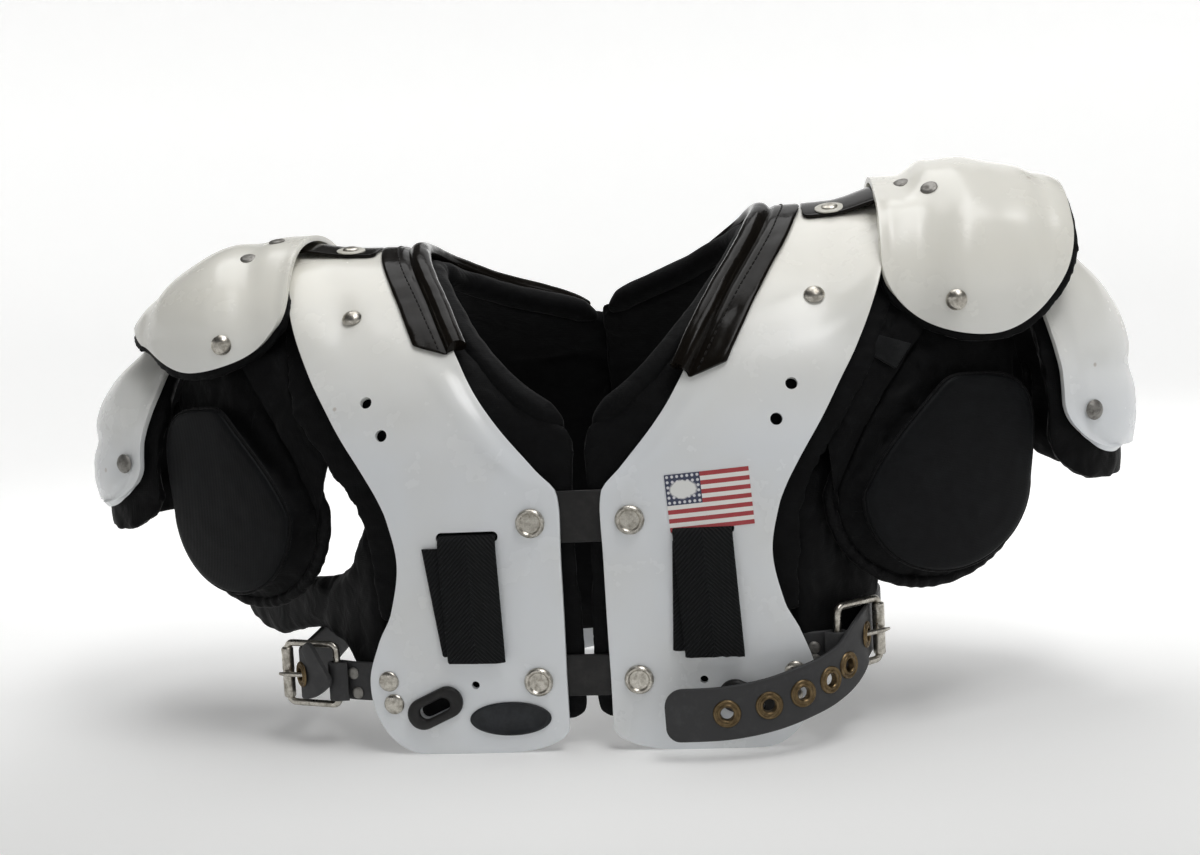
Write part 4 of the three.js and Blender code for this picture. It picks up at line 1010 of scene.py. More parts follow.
class MakeBars(bpy.types.Operator):
    """Mould the dark bars that join the halves in front and behind"""

    bl_idname = "shoulder_pads.bars"
    bl_label = "Bars"

    def execute(self, context):
        arch = arch_of({"rise": 0, "back_rise": 0})
        for name, (low, high) in BARS.items():
            rows = [(s, -BAR_REACH, BAR_REACH) for s in (low, high)]
            outline = Outline(rows, ((3, 3), (3, 3)))

            def place(along, across):
                s, x = outline.lay(along, across)
                return arch.at(s, x, -PLATE - GAP)

            bar = lay_grid(name, 12, 36, place)
            thicken(bar, BAR_WALL, 0.7)
            settle(bar, "moulded_dark_plastic", "dark_bar", name)
        return {"FINISHED"}


class MakeBodyPads(OfEachHalf, bpy.types.Operator):
    """Sew and fill the black body pads under the plates, with the roll along the neck"""

    bl_idname = "shoulder_pads.body_pads"
    bl_label = "Body Pads"

    def make(self, half, scene):
        settings = scene.pads_padding
        sign, arch, outline = half["sign"], arch_of(half), liner_outline(half)
        name = f"body_pad_{half['name']}"

        def place(along, across):
            s, x = outline.lay(along, across)
            at_middle = 1 - smoothstep(outline.reach(0, s), 4, 12)
            meet = lerp(2.2, 6.5, smoothstep(s, 380, 410))
            x = x - meet * at_middle * (1 - smoothstep(x - outline.reach(0, s), 0, 25))
            return arch.at(s, sign * x, PAD_LIFT - 0.9)

        pad = lay_grid(name, 150, 30, place, flip=sign < 0)
        thicken(pad, PAD - PUFF["body"], 0, even=False)

        def under_plate(points, normals):
            out = points - np.array([0, SET_BACK, 100])
            outward = normals[:, 1] * out[:, 1] + normals[:, 2] * out[:, 2]
            return outward > 0.3 * np.linalg.norm(out[:, 1:], axis=1)

        inflate(pad, settings, settings.voxel, reach=3.6, shy=under_plate, shy_reach=0.7)

        def beyond_plate(points):
            front = np.where(points[:, 1] < 0, 1.0, 0.7)
            return front * smoothstep(np.abs(points[:, 0]), 84, 104)

        crumple(pad, settings.crease, size=11, seed=3.1 + sign, where=beyond_plate, stretch=(0.45, 0.8, 1.3))
        crumple(pad, height=1.1, size=26, seed=9.4 + sign)
        settle(pad, "padded_nylon_cloth", "black_cloth", name)
        stations = np.linspace(NECK_ROLL["front"], NECK_ROLL["back"], 64)
        edge = value_at(outline.rows, 1, stations)
        roll = Course(arch.at(stations, sign * (edge + 1.5), PAD_LIFT - PAD / 2 + 0.6))

        def gathers(along, angle):
            corner = hump(along, 0.62, 0.12)
            ripple = np.sin(along * 90 + 1.7 * np.sin(along * 23))
            return NECK_ROLL["radius"] + (0.15 + 0.5 * corner) * ripple * (0.5 + 0.5 * np.cos(angle))

        piece = tube_along(f"neck_roll_{half['name']}", roll, gathers, rows=330, sides=20, from_end=0.045)
        settle(piece, "padded_nylon_cloth", "black_cloth")


# Distance out from the plate's edge, then height above the plate's face
TRIM_SECTION = (
    (19.2, 0.9), (19.6, 1.6), (19.1, 2.3), (17.5, 2.6), (13.5, 2.6), (9.5, 2.7), (6.6, 2.6), (5.2, 2),
    (4.2, 1.7), (3.2, 2.6), (2, 3.9), (0.2, 4.9), (-2, 5.2), (-4.2, 4.8), (-6.2, 3.6), (-7.5, 1.8),
    (-7.8, -0.2), (-7, -2), (-5.4, -3.1), (-3.4, -3.2), (-1.6, -2.5), (-0.6, -1.3), (-0.35, 0.2), (1.5, 0.6),
    (6, 0.6), (12, 0.6), (17, 0.6),
)
STITCH_PROFILE = ((0, 1.5), (0.3, 1.35), (0.42, 0.9), (0.45, 0), (0.42, -0.9), (0.3, -1.35), (0, -1.5))
# Distance between the stitches, their height above the plate's face, and their distance out from its edge
STITCH = {"pitch": 3.6, "lift": 2.75, "front": 7.5, "middle": 10, "back": 11}


def trim_front(half, x):
    """Station where the trim's cut end lies, by the distance out from the plate's edge."""
    return half["trim_front"] + np.interp(x, (-8, -2, 3, 4.5, 6, 12, 19.5), (5, 3.5, 0, -2, -1.5, 1.5, 5.5))


class MakeNeckTrims(OfEachHalf, bpy.types.Operator):
    """Bind the neck edges in glossy vinyl, with a rolled bead and a row of stitches"""

    bl_idname = "shoulder_pads.neck_trims"
    bl_label = "Neck Trims"

    def make(self, half, scene):
        section = Course(TRIM_SECTION, closed=True)
        sign, arch = half["sign"], arch_of(half)

        def on_edge(s, x, lift):
            return arch.at(s, sign * (value_at(PLATE_EDGES, 1, s) + x), lift)

        def place(along, across):
            corner = section.read(across * section.length)[0]
            s = lerp(trim_front(half, corner[:, 0]), TRIM["back"], along)
            return on_edge(s, corner[:, 0], corner[:, 1])

        name = f"neck_trim_{half['name']}"
        trim = lay_tube(name, 130, 72, place)
        crumple(trim, height=0.35, size=18, seed=2.2 + sign)
        smooth(trim, 50)
        settle(trim, "glossy_binding_vinyl", "neck_vinyl", name)
        stitch = lathe("stitch", STITCH_PROFILE, 8)
        front, back, lift = half["trim_front"], TRIM["back"], STITCH["lift"]
        reaches = [STITCH[k] for k in ("front", "middle", "back")]
        stitches = []
        for s in np.arange(front + 2, back - 2, STITCH["pitch"]):
            x = float(np.interp(s, (front, front + 70, back), reaches))
            ahead = Vector(on_edge(s + 0.5, x, lift)) - Vector(on_edge(s - 0.5, x, lift))
            stitches.append(copied(stitch, "stitch", pointed(on_edge(s, x, lift), ahead)))
        bpy.data.objects.remove(stitch)
        seam = joined(f"trim_stitches_{half['name']}", stitches)
        settle(seam, "bonded_sewing_thread", "neck_vinyl")


class MakeShoulderStraps(OfEachHalf, bpy.types.Operator):
    """Cut the vinyl straps that carry the caps over the tops of the arches"""

    bl_idname = "shoulder_pads.shoulder_straps"
    bl_label = "Shoulder Straps"

    def make(self, half, scene):
        sign, arch = half["sign"], arch_of(half)
        neck = float(value_at(PLATE_EDGES, 1, np.array([ARCH_TOP]))[0])
        inner = neck + TRIM["lap"] + STRAP["from_trim"]
        rows = [(s, inner, STRAP["outer"]) for s in (STRAP["front"], STRAP["back"])]
        outline = Outline(rows, ((5, 5), (2, 2)))

        def place(along, across):
            s, x = outline.lay(along, across)
            return arch.at(s, sign * x, GAP + STRAP["wall"] + half["cap_raise"] * smoothstep(x, 130, 162))

        name = f"shoulder_strap_{half['name']}"
        strap = lay_grid(name, 24, 24, place, flip=sign < 0)
        thicken(strap, STRAP["wall"], 0.6)
        settle(strap, "glossy_binding_vinyl", "neck_vinyl", name)


class MakeShoulderCaps(OfEachHalf, bpy.types.Operator):
    """Mould the white shoulder caps and line them with black foam cloth"""

    bl_idname = "shoulder_pads.shoulder_caps"
    bl_label = "Shoulder Caps"

    def make(self, half, scene):
        settings = scene.pads_plates
        sign = half["sign"]
        cap = cap_of(half, arch_of(half), settings.cap_valley)
        shell, lining = cap_outline(cap), lining_outline(cap)

        def on_shell(along, across):
            s, x = shell.lay(along, across)
            return cap.at(s, sign * x)

        def on_lining(along, across):
            s, x = lining.lay(along, across)
            return cap.at(s, sign * x, -PLATE - CAP["lining_gap"])

        name = f"shoulder_cap_{half['name']}"
        piece = lay_grid(name, 130, 48, on_shell, flip=sign < 0)
        thicken(piece, PLATE, settings.edge_round)
        settle(piece, "moulded_polyethylene", "white_plate", name)
        name = f"cap_lining_{half['name']}"
        piece = lay_grid(name, 120, 40, on_lining, flip=sign < 0)
        thicken(piece, CAP["lining"], 0, even=False)
        reskin(piece, 2.2)
        modify(piece, "SMOOTH", factor=0.5, iterations=8)
        crumple(piece, height=0.6, size=12, seed=5.3 + sign)
        smooth(piece, 80)
        settle(piece, "padded_nylon_cloth", "black_cloth", name)


class MakeArmCaps(OfEachHalf, bpy.types.Operator):
    """Mould the white arm caps, with the filled pads and the bands that hang them"""

    bl_idname = "shoulder_pads.arm_caps"
    bl_label = "Arm Caps"

    def make(self, half, scene):
        plates, padding = scene.pads_plates, scene.pads_padding
        sign, high = half["sign"], arm_height(half)
        shell = arm_outline(half)
        inside = arm_outline(half, ARM["rim"], ARM["drop"])

        def on_shell(along, across):
            s, x = shell.lay(along, across)
            rim = np.minimum(x - shell.reach(0, s), shell.reach(1, s) - x)
            lift = 1.3 * (1 - smoothstep(rim, 0.5, 6)) - hump(rim, 9, 4)
            lift = lift - 2.4 * hump(s / high, 0.4, 0.08) * smoothstep(rim, 6, 22)
            return arm_point(half, s, x, -lift)

        name = f"arm_cap_{half['name']}"
        piece = lay_grid(name, 60, 84, on_shell, flip=sign < 0)
        thicken(piece, PLATE, plates.edge_round)
        settle(piece, "moulded_polyethylene", "white_plate", name)

        def on_pad(along, across):
            s, x = inside.lay(along, across)
            return arm_point(half, s, x, PLATE + ARM["gap"] + 1.2)

        name = f"arm_pad_{half['name']}"
        pad = lay_grid(name, 50, 70, on_pad, flip=sign < 0)
        thicken(pad, ARM["pad"] - PUFF["arm"], 0, even=False)

        def under_cap(points, normals):
            out = points[:, :2] - np.array([sign * ARM["axis"], SET_BACK])
            return np.sum(normals[:, :2] * out, axis=1) > 0.4 * np.linalg.norm(out, axis=1)

        inflate(pad, padding, padding.voxel, reach=3.4, shy=under_cap, shy_reach=1.0)
        crumple(pad, height=1.5, size=12, seed=7.7 + sign, stretch=(1, 1, 0.6))
        settle(pad, "padded_nylon_cloth", "black_cloth", name)
        cap = cap_of(half, arch_of(half), plates.cap_valley)

        def on_band(along, across):
            side = (2 * across - 1) * ARM_BAND["half_width"]
            s = cap.length / 2 + side
            reach = lerp(188, CAP["outer"] + CAP["rim"], 0.7)
            top = cap.at(s, sign * reach, -PLATE - CAP["lining_gap"] - CAP["lining"] - 0.9)
            foot = arm_point(half, np.full(len(along), high), np.zeros(len(along)), 0.0)
            foot = np.stack([foot[:, 0], side + SET_BACK, foot[:, 2] + GAP], -1)
            return lerp(top, foot, along[:, None])

        def chart(along, across):
            return (across - 0.5) * WEBBING["width"], along * 20

        name = f"arm_strap_{half['name']}"
        band = lay_grid(name, 12, 14, on_band, chart, flip=sign > 0)
        thicken(band, ARM_BAND["wall"], 0.5)
        settle(band, "herringbone_webbing", "webbing", name)


# Stations on the arch and angles on the egg that the strap joins, from its lower to its upper edge
EGG_STRAP = {"stations": (152, 252), "angles": (3.3, 1.45), "wall": 2}
# Share of the way over the skin, then share of the outline, depth and stretch of its upper part
EGG_STEPS = (
    (0, 0, 2.4, 1), (0.25, 0.72, 3, 1), (0.4, 0.83, 15, 1), (0.6, 0.94, 17, 1.7), (0.66, 0.965, 19.5, 1.7),
    (0.72, 0.93, 22.5, 1.7), (1, 0, 22.5, 1),
)
PANEL_STEPS = (
    (0, 0, -1.4), (0.4, 0.36, -1.2), (0.7, 0.62, -0.5), (0.85, 0.745, 0.2), (0.92, 0.79, 0.9),
    (0.96, 0.806, 2), (1, 0.815, 5),
)


def steps_at(steps, along):
    """Columns of a table of steps, read at a share of the way."""
    at, *columns = zip(*steps)
    return [np.interp(along, at, column) for column in columns]


class MakeDeltoidPads(OfEachHalf, bpy.types.Operator):
    """Fill the egg-shaped pads in front of the arms, with their panels, bindings, straps and elastic band"""

    bl_idname = "shoulder_pads.deltoid_pads"
    bl_label = "Deltoid Pads"

    def make(self, half, scene):
        settings = scene.pads_padding
        sign, arch, outline = half["sign"], arch_of(half), liner_outline(half)

        def on_pad(along, across):
            return egg_point(half, across * math.tau, *steps_at(EGG_STEPS, along))

        name = f"deltoid_pad_{half['name']}"
        pad = lay_tube(name, 60, 72, on_pad)
        inflate(pad, settings, settings.voxel - 0.5, reach=2.6)
        crumple(pad, height=1.6, size=9, seed=11.2 + sign, stretch=(1, 1, 0.5))
        settle(pad, "padded_nylon_cloth", "black_cloth", name)

        def on_panel(along, across):
            return egg_point(half, across * math.tau, *steps_at(PANEL_STEPS, along), EGG["panel_reach"])

        panel = lay_tube(f"deltoid_panel_{half['name']}", 44, 110, on_panel)
        smooth(panel, 60)
        settle(panel, "coated_nylon_panel", "black_cloth")
        angles = np.linspace(2.5, math.tau + 0.5, 70)
        rim = Course(egg_point(half, angles, 0.962, EGG["wall"] - EGG["rim"] / 2 - 1, EGG["hanger"]))

        def puckered(along, angle):
            return 3.3 + 0.2 * np.sin(along * 210 + np.sin(along * 40) * 2)

        name = f"deltoid_binding_{half['name']}"
        binding = tube_along(name, rim, puckered, rows=300, sides=16, from_end=0.02)
        settle(binding, "woven_binding_tape", "black_cloth")
        edge = Course(egg_point(half, np.linspace(0, math.tau, 80), 0.812, 3.0, EGG["panel_reach"]))
        piping = tube_along(f"deltoid_piping_{half['name']}", edge, 0.95, rows=240, sides=10)
        settle(piping, "woven_binding_tape", "black_cloth")

        def between(t, v, lift):
            s = lerp(*EGG_STRAP["stations"], v)
            start = arch.at(s, sign * (value_at(outline.rows, 2, s) - 5), PAD_LIFT - PAD / 4 - 2.5)
            angle, depth = lerp(*EGG_STRAP["angles"], v), EGG["wall"] - EGG["rim"] - 1
            end = egg_point(half, angle, 0.95, depth, EGG["hanger"])
            sag = np.stack([0 * t, -lift - 1.2 * np.sin(t * math.pi), 0 * t], -1)
            return lerp(start, end, t[:, None]) + sag

        name = f"deltoid_strap_{half['name']}"
        rows, columns = 50, 40
        strap = lay_grid(name, rows, columns, lambda a, c: between(c, a, 0.0), flip=sign < 0)
        crumple(strap, height=2.0, size=9, seed=4.4 + sign, stretch=(1, 1, 0.5))
        net = points_of(strap).reshape(rows + 1, columns + 1, 3)
        thicken(strap, EGG_STRAP["wall"], 0, offset=0, even=False)
        settle(strap, "padded_nylon_cloth", "black_cloth", name)
        if sign < 0:
            return

        def on_band(along, across):
            return between(lerp(0.02, 0.92, across), lerp(0.5, 0.62, along), 2.6)

        band = lay_grid("elastic_band_left", 14, 30, on_band, lambda a, c: (c * 26, a * 11))
        thicken(band, 1.6, 0.4, offset=0, even=False)
        settle(band, "elastic_band", "webbing")


class MakeSidePads(OfEachHalf, bpy.types.Operator):
    """Fill the wings of padding below the arms"""

    bl_idname = "shoulder_pads.side_pads"
    bl_label = "Side Pads"

    def make(self, half, scene):
        settings = scene.pads_padding
        sign, arch = half["sign"], arch_of(half)
        rows = np.array(WINGS[half["name"]], float)
        rim_x, reach, level = rows[0, 0], rows[-1, 0], half["side_level"]
        edge = value_at(liner_outline(half).rows, 2, np.array([level]))
        rim_y = arch.at(level, sign * edge[0], PAD_LIFT)[1]
        rows[:, 0] -= rim_x
        tall = rows[-1, 2] - rows[-1, 1]
        outline = Outline(rows, ((1, 1), (1, 1)), ((tall * 0.42, 16), (tall * 0.42, 16)))

        def place(along, across):
            q, level = outline.lay(along, across)
            start = np.maximum(value_at(LINER_EDGES, 2, level), rim_x) - 5
            x = lerp(start, reach, np.clip(q / (reach - rim_x), 0, 1))
            back = WING["inset"] + WING["swing"] * (x - rim_x) + 1.5
            return np.stack([sign * x, rim_y + back, level], -1)

        name = f"side_pad_{half['name']}"
        pad = lay_grid(name, 50, 30, place, flip=sign > 0)
        thicken(pad, WING["wall"] - PUFF["wing"], 0, even=False)
        inflate(pad, settings, settings.voxel - 0.5, reach=3.2)
        crumple(pad, height=1.8, size=22, seed=6.1 + sign, stretch=(1, 1, 0.7))
        settle(pad, "padded_nylon_cloth", "black_cloth", name)


# Height above the floor, then height above the plate's face
PLIES = {
    "chest_webbing": (
        (47.5, 3.4), (60, 3.3), (85, 3.4), (100, 3.5), (106, 3.2), (109, 2), (110.2, 0.2), (110.4, -2),
        (110.4, -4.4),
    ),
    "chest_webbing_under": ((50.5, 1.3), (60, 1.25), (80, 1.25), (95, 1.25), (105, 1.25)),
}
# Sideways shift at the hem and at the slot
PLY_SHIFTS = {
    "left": {"chest_webbing": (3.5, 0), "chest_webbing_under": (-2.5, 0)},
    "right": {"chest_webbing": (-1.5, 0), "chest_webbing_under": (1, 9)},
}


class MakeChestWebbing(OfEachHalf, bpy.types.Operator):
    """Weave the two plies of chest webbing that hang from each slot"""

    bl_idname = "shoulder_pads.chest_webbing"
    bl_label = "Chest Webbing"

    def make(self, half, scene):
        ring = ring_of(WEBBING["width"], WEBBING["wall"], 0.85, side=26)
        sign, arch = half["sign"], arch_of(half)
        for ply, route in PLIES.items():
            course = Course(route)
            hem_shift, slot_shift = PLY_SHIFTS[half["name"]][ply]

            def place(along, across):
                point, tangent = course.read(along * course.length)
                flat = around(ring, across)
                z = point[:, 0] - tangent[:, 1] * flat[:, 1]
                fray = np.array([noise.noise(Vector((x * 0.8, sign * 9.0, 0))) for x in flat[:, 0]])
                z = z + np.where(along < 1e-6, 0.9 * fray, 0)
                lift = point[:, 1] + tangent[:, 0] * flat[:, 1]
                shift = np.interp(z, (WEBBING["hem"], WEBBING["slot_z"]), (hem_shift, slot_shift))
                x = half["webbing_x"] + WEBBING["width"] / 2 + flat[:, 0] + shift
                return arch.at(arch.station(z), sign * x, lift)

            def chart(along, across):
                return around(ring, across)[:, 0] + 0 * along, along * course.length

            name = f"{ply}_{half['name']}"
            strip = lay_tube(name, 60, len(ring), place, chart)
            smooth(strip, 50)
            settle(strip, "herringbone_webbing", "webbing", name)


FLAG = {"x": 63.6, "z": 124.4, "wide": 41, "tall": 28, "turn": 4}
BADGE = {"x": 40.2, "z": 17.6, "wide": 41, "tall": 17}
BADGE_PROFILE = (
    (0, 0.9), (8, 0.9), (16.8, 0.9), (17.6, 1.4), (18.6, 1.6), (19.8, 1.4), (20.5, 0.8), (20.5, 0.1),
    (0, 0.1),
)
# Share of the way from the slot to the guard's outer edge, then height
GUARD_SECTION = (
    (0, 0), (0, 2.2), (0.1, 2.8), (0.3, 3.2), (0.55, 3.2), (0.85, 2.7), (0.97, 2), (1, 1), (1, 0), (0.5, 0),
)


class MakeFittings(bpy.types.Operator):
    """Fit the slot guards, the plain oval badge and the flag sticker"""

    bl_idname = "shoulder_pads.fittings"
    bl_label = "Guards, Badge and Flag"

    def execute(self, context):
        section = np.array(GUARD_SECTION, float)
        outer = oval(GUARD["long"], GUARD["tall"], 9)
        inner = oval(GUARD["slot_long"], GUARD["slot_tall"], 9)
        for half in HALVES:
            arch = arch_of(half)

            def place(along, across):
                corner = around(section, across)
                flat = lerp(around(inner, along), around(outer, along), corner[:, :1])
                return np.stack([flat[:, 0], flat[:, 1], corner[:, 1]], -1)

            name = f"slot_guard_{half['name']}"
            guard = lay_tube(name, len(outer), len(section), place, capped=False)
            moved(guard, guard_seat(half, arch, 2 * GAP))
            smooth(guard, 50)
            settle(guard, "moulded_dark_plastic", "dark_bar", name)
        left, right = (arch_of(half) for half in HALVES)
        badge = lathe("oval_badge", BADGE_PROFILE, 72)
        moved(badge, Matrix.Diagonal((1, BADGE["tall"] / BADGE["wide"], 1, 1)))
        moved(badge, right.facing(right.station(BADGE["z"]), -BADGE["x"], 0.2))
        settle(badge, "pressed_dark_badge", "dark_bar")
        turn = math.radians(FLAG["turn"])

        def on_plate(along, across):
            u, v = (across - 0.5) * FLAG["wide"], (along - 0.5) * FLAG["tall"]
            x = FLAG["x"] + u * math.cos(turn) - v * math.sin(turn)
            z = FLAG["z"] + u * math.sin(turn) + v * math.cos(turn)
            return left.at(left.station(z), x, 0.35)

        flag = lay_grid("flag_sticker", 30, 40, on_plate)
        thicken(flag, 0.25, 0)
        settle(flag, "printed_flag_vinyl", "white_plate")
        return {"FINISHED"}


# Reach of each grommet on the tail from the middle
GROMMETS = {"left": (68, 88, 104, 117.5, 126.8), "right": ()}
GROMMET_PROFILE = (
    (3.1, -1.6), (3.1, 1.3), (3.3, 1.9), (3.8, 2.25), (4.4, 2.05), (4.8, 1.45), (5.3, 1.4), (5.8, 1.85),
    (6.3, 1.9), (6.7, 1.5), (6.8, 1.05), (4.2, 1.05), (4.2, -1.05), (6.4, -1.05), (6.4, -1.5), (4.6, -1.8),
    (3.5, -1.8), (3.1, -1.6),
)
GROMMET_HOLE = 3.7
# Round of the tail's upper and lower corner
BELT_CORNERS = {"left": (9, 7), "right": (2.5, 4)}


def belt_point(course, s, side, up):
    point, tangent = course.read(s)
    across = np.cross(tangent, (0, 0, 1))
    across /= np.linalg.norm(across, axis=-1, keepdims=True)
    upright = np.cross(across, tangent)
    return point + upright * np.asarray(up)[..., None] + across * np.asarray(side)[..., None]


class MakeSideBelts(bpy.types.Operator):
    """Cut the belts that run from the back plate through the buckles, and set their brass grommets"""

    bl_idname = "shoulder_pads.side_belts"
    bl_label = "Side Belts"

    def execute(self, context):
        ring = ring_of(BELT["width"], BELT["wall"], 0.9, side=10)
        ringlet = lathe("grommet", GROMMET_PROFILE, 36)
        for half in HALVES:
            course = belt_course(half)
            corners = BELT_CORNERS[half["name"]]

            def place(along, across):
                flat = around(ring, across)
                tip, body_share = BELT["tip"], 1 - BELT["tip_share"]
                end = tip * np.clip((1 - along) / BELT["tip_share"], 0, 1) ** 2
                body = along / body_share * (course.length - tip)
                s = np.where(along > body_share, course.length - end, body)
                from_end = course.length - s
                up = flat[:, 0].copy()
                for keep, run in zip((up > 0, up < 0), corners):
                    share = np.clip(1 - from_end / run, 0, 1)
                    drawn = run / (BELT["width"] / 2) * (1 - np.sqrt(1 - share * share))
                    up = np.where(keep, up * (1 - drawn * 0.98), up)
                return belt_point(course, s, flat[:, 1], up)

            name = f"side_belt_{half['name']}"
            belt = lay_tube(name, 190, len(ring), place)
            holes, rings = [], []
            tail = (course.points[:, 1] < -96) & (course.distance > course.length * 0.6)
            reach = np.where(tail, np.abs(course.points[:, 0]), np.inf)
            spots = [np.argmin(np.abs(reach - x)) for x in GROMMETS[half["name"]]]
            spots.append(np.argmin(np.linalg.norm(course.points - on_buckle(half, *half["pierced"]), axis=1)))
            for number, nearest in enumerate(spots, 1):
                point, tangent = Vector(course.points[nearest]), Vector(course.tangents[nearest])
                out = -Vector(np.cross(tangent, (0, 0, 1))).normalized() * half["sign"]
                seat = Matrix.Translation(point) @ turned(tangent, out.cross(tangent), out)
                holes.append(moved(prism("hole", disc(GROMMET_HOLE, 28), 6), seat))
                rings.append(copied(ringlet, f"grommet_{number}_{half['name']}", seat))
            cut(belt, [joined("cutter", holes)])
            smooth(belt, 45)
            settle(belt, "matte_belt_vinyl", "belt_vinyl", name)
            for piece in rings:
                settle(piece, "aged_brass", "nickel")
        bpy.data.objects.remove(ringlet)
        return {"FINISHED"}


def tab_seat(half):
    """Frame of a buckle's tab at the heel bar: along the tab, up, and out of its front."""
    heel = Vector(on_buckle(half, (BUCKLE["wire"] - BUCKLE["long"]) / 2, 0, 0))
    start = Vector((half["sign"] * TAB["x"], TAB["y"] + SET_BACK, heel.z))
    along, up = (heel - start).normalized(), Vector((0, 0, 1))
    out = along.cross(up) * half["sign"]
    return Matrix.Translation(heel) @ turned(along, up, out)


def tab_length(half):
    heel = on_buckle(half, (BUCKLE["wire"] - BUCKLE["long"]) / 2, 0, 0)
    return math.hypot(abs(heel[0]) - TAB["x"], heel[1] - TAB["y"] - SET_BACK)


class MakeBuckles(bpy.types.Operator):
    """Bend the roller buckles, with their prongs and the tabs that hold them"""

    bl_idname = "shoulder_pads.buckles"
    bl_label = "Buckles"

    def execute(self, context):
        wire, long, tall, roller = (BUCKLE[k] for k in ("wire", "long", "tall", "roller"))
        ring = ring_of(long - wire, tall - wire, wire, corner=9, side=8)
        heel = -long / 2 + wire / 2
        slope = np.roll(ring, -1, 0) - np.roll(ring, 1, 0)
        normal = np.stack([slope[:, 1], -slope[:, 0]], -1) / np.linalg.norm(slope, axis=1, keepdims=True)
        for half in HALVES:
            def bent(along, across):
                flat, out = around(ring, along), around(normal, along)
                angle = across * math.tau
                flat = flat + out * (wire / 2 * np.cos(angle))[:, None]
                return on_buckle(half, flat[:, 0], wire / 2 * np.sin(angle), flat[:, 1])

            name = f"buckle_frame_{half['name']}"
            body = lay_tube(name, len(ring), 16, bent, capped=False)
            smooth(body, 70)
            reach = tall / 2 - wire - 0.5
            drum = lathe("roller", [
                (0, reach), (2, reach), (2.7, reach - 0.3), (roller, reach - 1), (roller, 1.2),
                (roller - 0.15, 0.6), (roller - 0.15, -0.6), (roller, -1.2), (roller, 1 - reach),
                (2.7, 0.3 - reach), (2, -reach), (0, -reach),
            ], 28)
            moved(drum, Matrix.Translation(on_buckle(half, long / 2 - wire / 2, 0, 0)))
            body = joined(name, [body, drum])
            settle(body, "worn_nickel_plate", "nickel", name)
            route = [
                (-1.2, heel - 2.7), (-2.9, heel - 0.6), (-2.1, heel + 2), (0.4, heel + 2.9), (2.0, heel + 7),
                (3.2, heel + 14), (4.4, heel + 22), (5.0, long / 2 - 2), (4.9, long / 2 + 0.6),
            ]
            pin = Course([on_buckle(half, along, out, 0) for out, along in route])
            name = f"buckle_prong_{half['name']}"

            def tapered(along, angle):
                return np.interp(along, (0, 0.3, 0.9, 1), (1.3, 1.4, 1.2, 0.7))

            prong = tube_along(name, pin, tapered, rows=70)
            settle(prong, "worn_nickel_plate", "nickel", name)
            strip = ring_of(TAB["tall"], TAB["wall"], 0.9, side=8)
            seat = tab_seat(half)
            length = tab_length(half)
            fold = Course([
                (-length, -1.7), (-length * 0.6, -1.7), (-9, -1.9), (-4, -3), (-0.5, -3.7), (2.8, -2.4),
                (3.6, 0.4), (2, 3), (-1, 3.3), (-3.6, 2), (-6.5, 0.9),
            ])

            def folded(along, across):
                point, tangent = fold.read(along * fold.length)
                flat = around(strip, across)
                run = point[:, 0] - tangent[:, 1] * flat[:, 1]
                out = point[:, 1] + tangent[:, 0] * flat[:, 1]
                local = np.stack([run, flat[:, 0] + half["tab_drop"], out, np.ones(len(run))], -1)
                return (local @ np.array(seat).T)[:, :3]

            name = f"buckle_tab_{half['name']}"
            tab = lay_tube(name, 90, len(strip), folded)
            smooth(tab, 50)
            settle(tab, "matte_belt_vinyl", "belt_vinyl", name)
        return {"FINISHED"}


RIVET_PROFILES = {
    "bar": (
        (0, 1.25), (3, 1.25), (4.7, 1.3), (5, 1.7), (5.5, 2.15), (6.3, 2.2), (7, 1.6), (7.3, 0.7), (7.2, 0),
        (0, 0),
    ),
    "dome": ((0, 3), (1.4, 2.9), (2.8, 2.45), (4, 1.7), (4.8, 0.9), (5.2, 0.3), (5.1, 0), (0, 0)),
    "corner": ((0, 2), (1.8, 1.9), (3.4, 1.6), (4.5, 1.1), (5.1, 0.5), (5.2, 0.1), (5, 0), (0, 0)),
    "flat": ((0, 1.3), (2.6, 1.3), (3.6, 1.1), (4.3, 0.6), (4.4, 0.1), (0, 0)),
    "washer": ((3, 0.9), (7.2, 0.9), (7.8, 0.6), (7.9, 0.1), (3, 0.1), (3, 0.9)),
}
RIVET_LIFT = 0.2
# Name, profile, reach from the middle and height
FRONT_RIVETS = (
    ("bar_rivet_upper", "bar", 24.5, 116), ("bar_rivet_lower", "bar", 25, 36),
    ("plate_rivet", "dome", 119, 221.6),
    ("corner_rivet_upper", "corner", 101.5, 37.5), ("corner_rivet_lower", "corner", 99.5, 25.8),
)
STRAP_RIVET = {"station": 299, "reach": 131}
# Share of the cap's length, then reach from the middle
CAP_TOP_RIVETS = ((0.3, 180), (0.37, 168), (0.66, 170))
# Angle about the arm cap's axis in degrees, then share of its height
ARM_RIVETS = {"left": (-62, 0.2), "right": (-67, 0.27)}
# Distance along the tab from the heel bar, then height
TAB_RIVETS = {"left": ((-12, -4), (-12, -10)), "right": ((-9, 1), (-11, -9))}


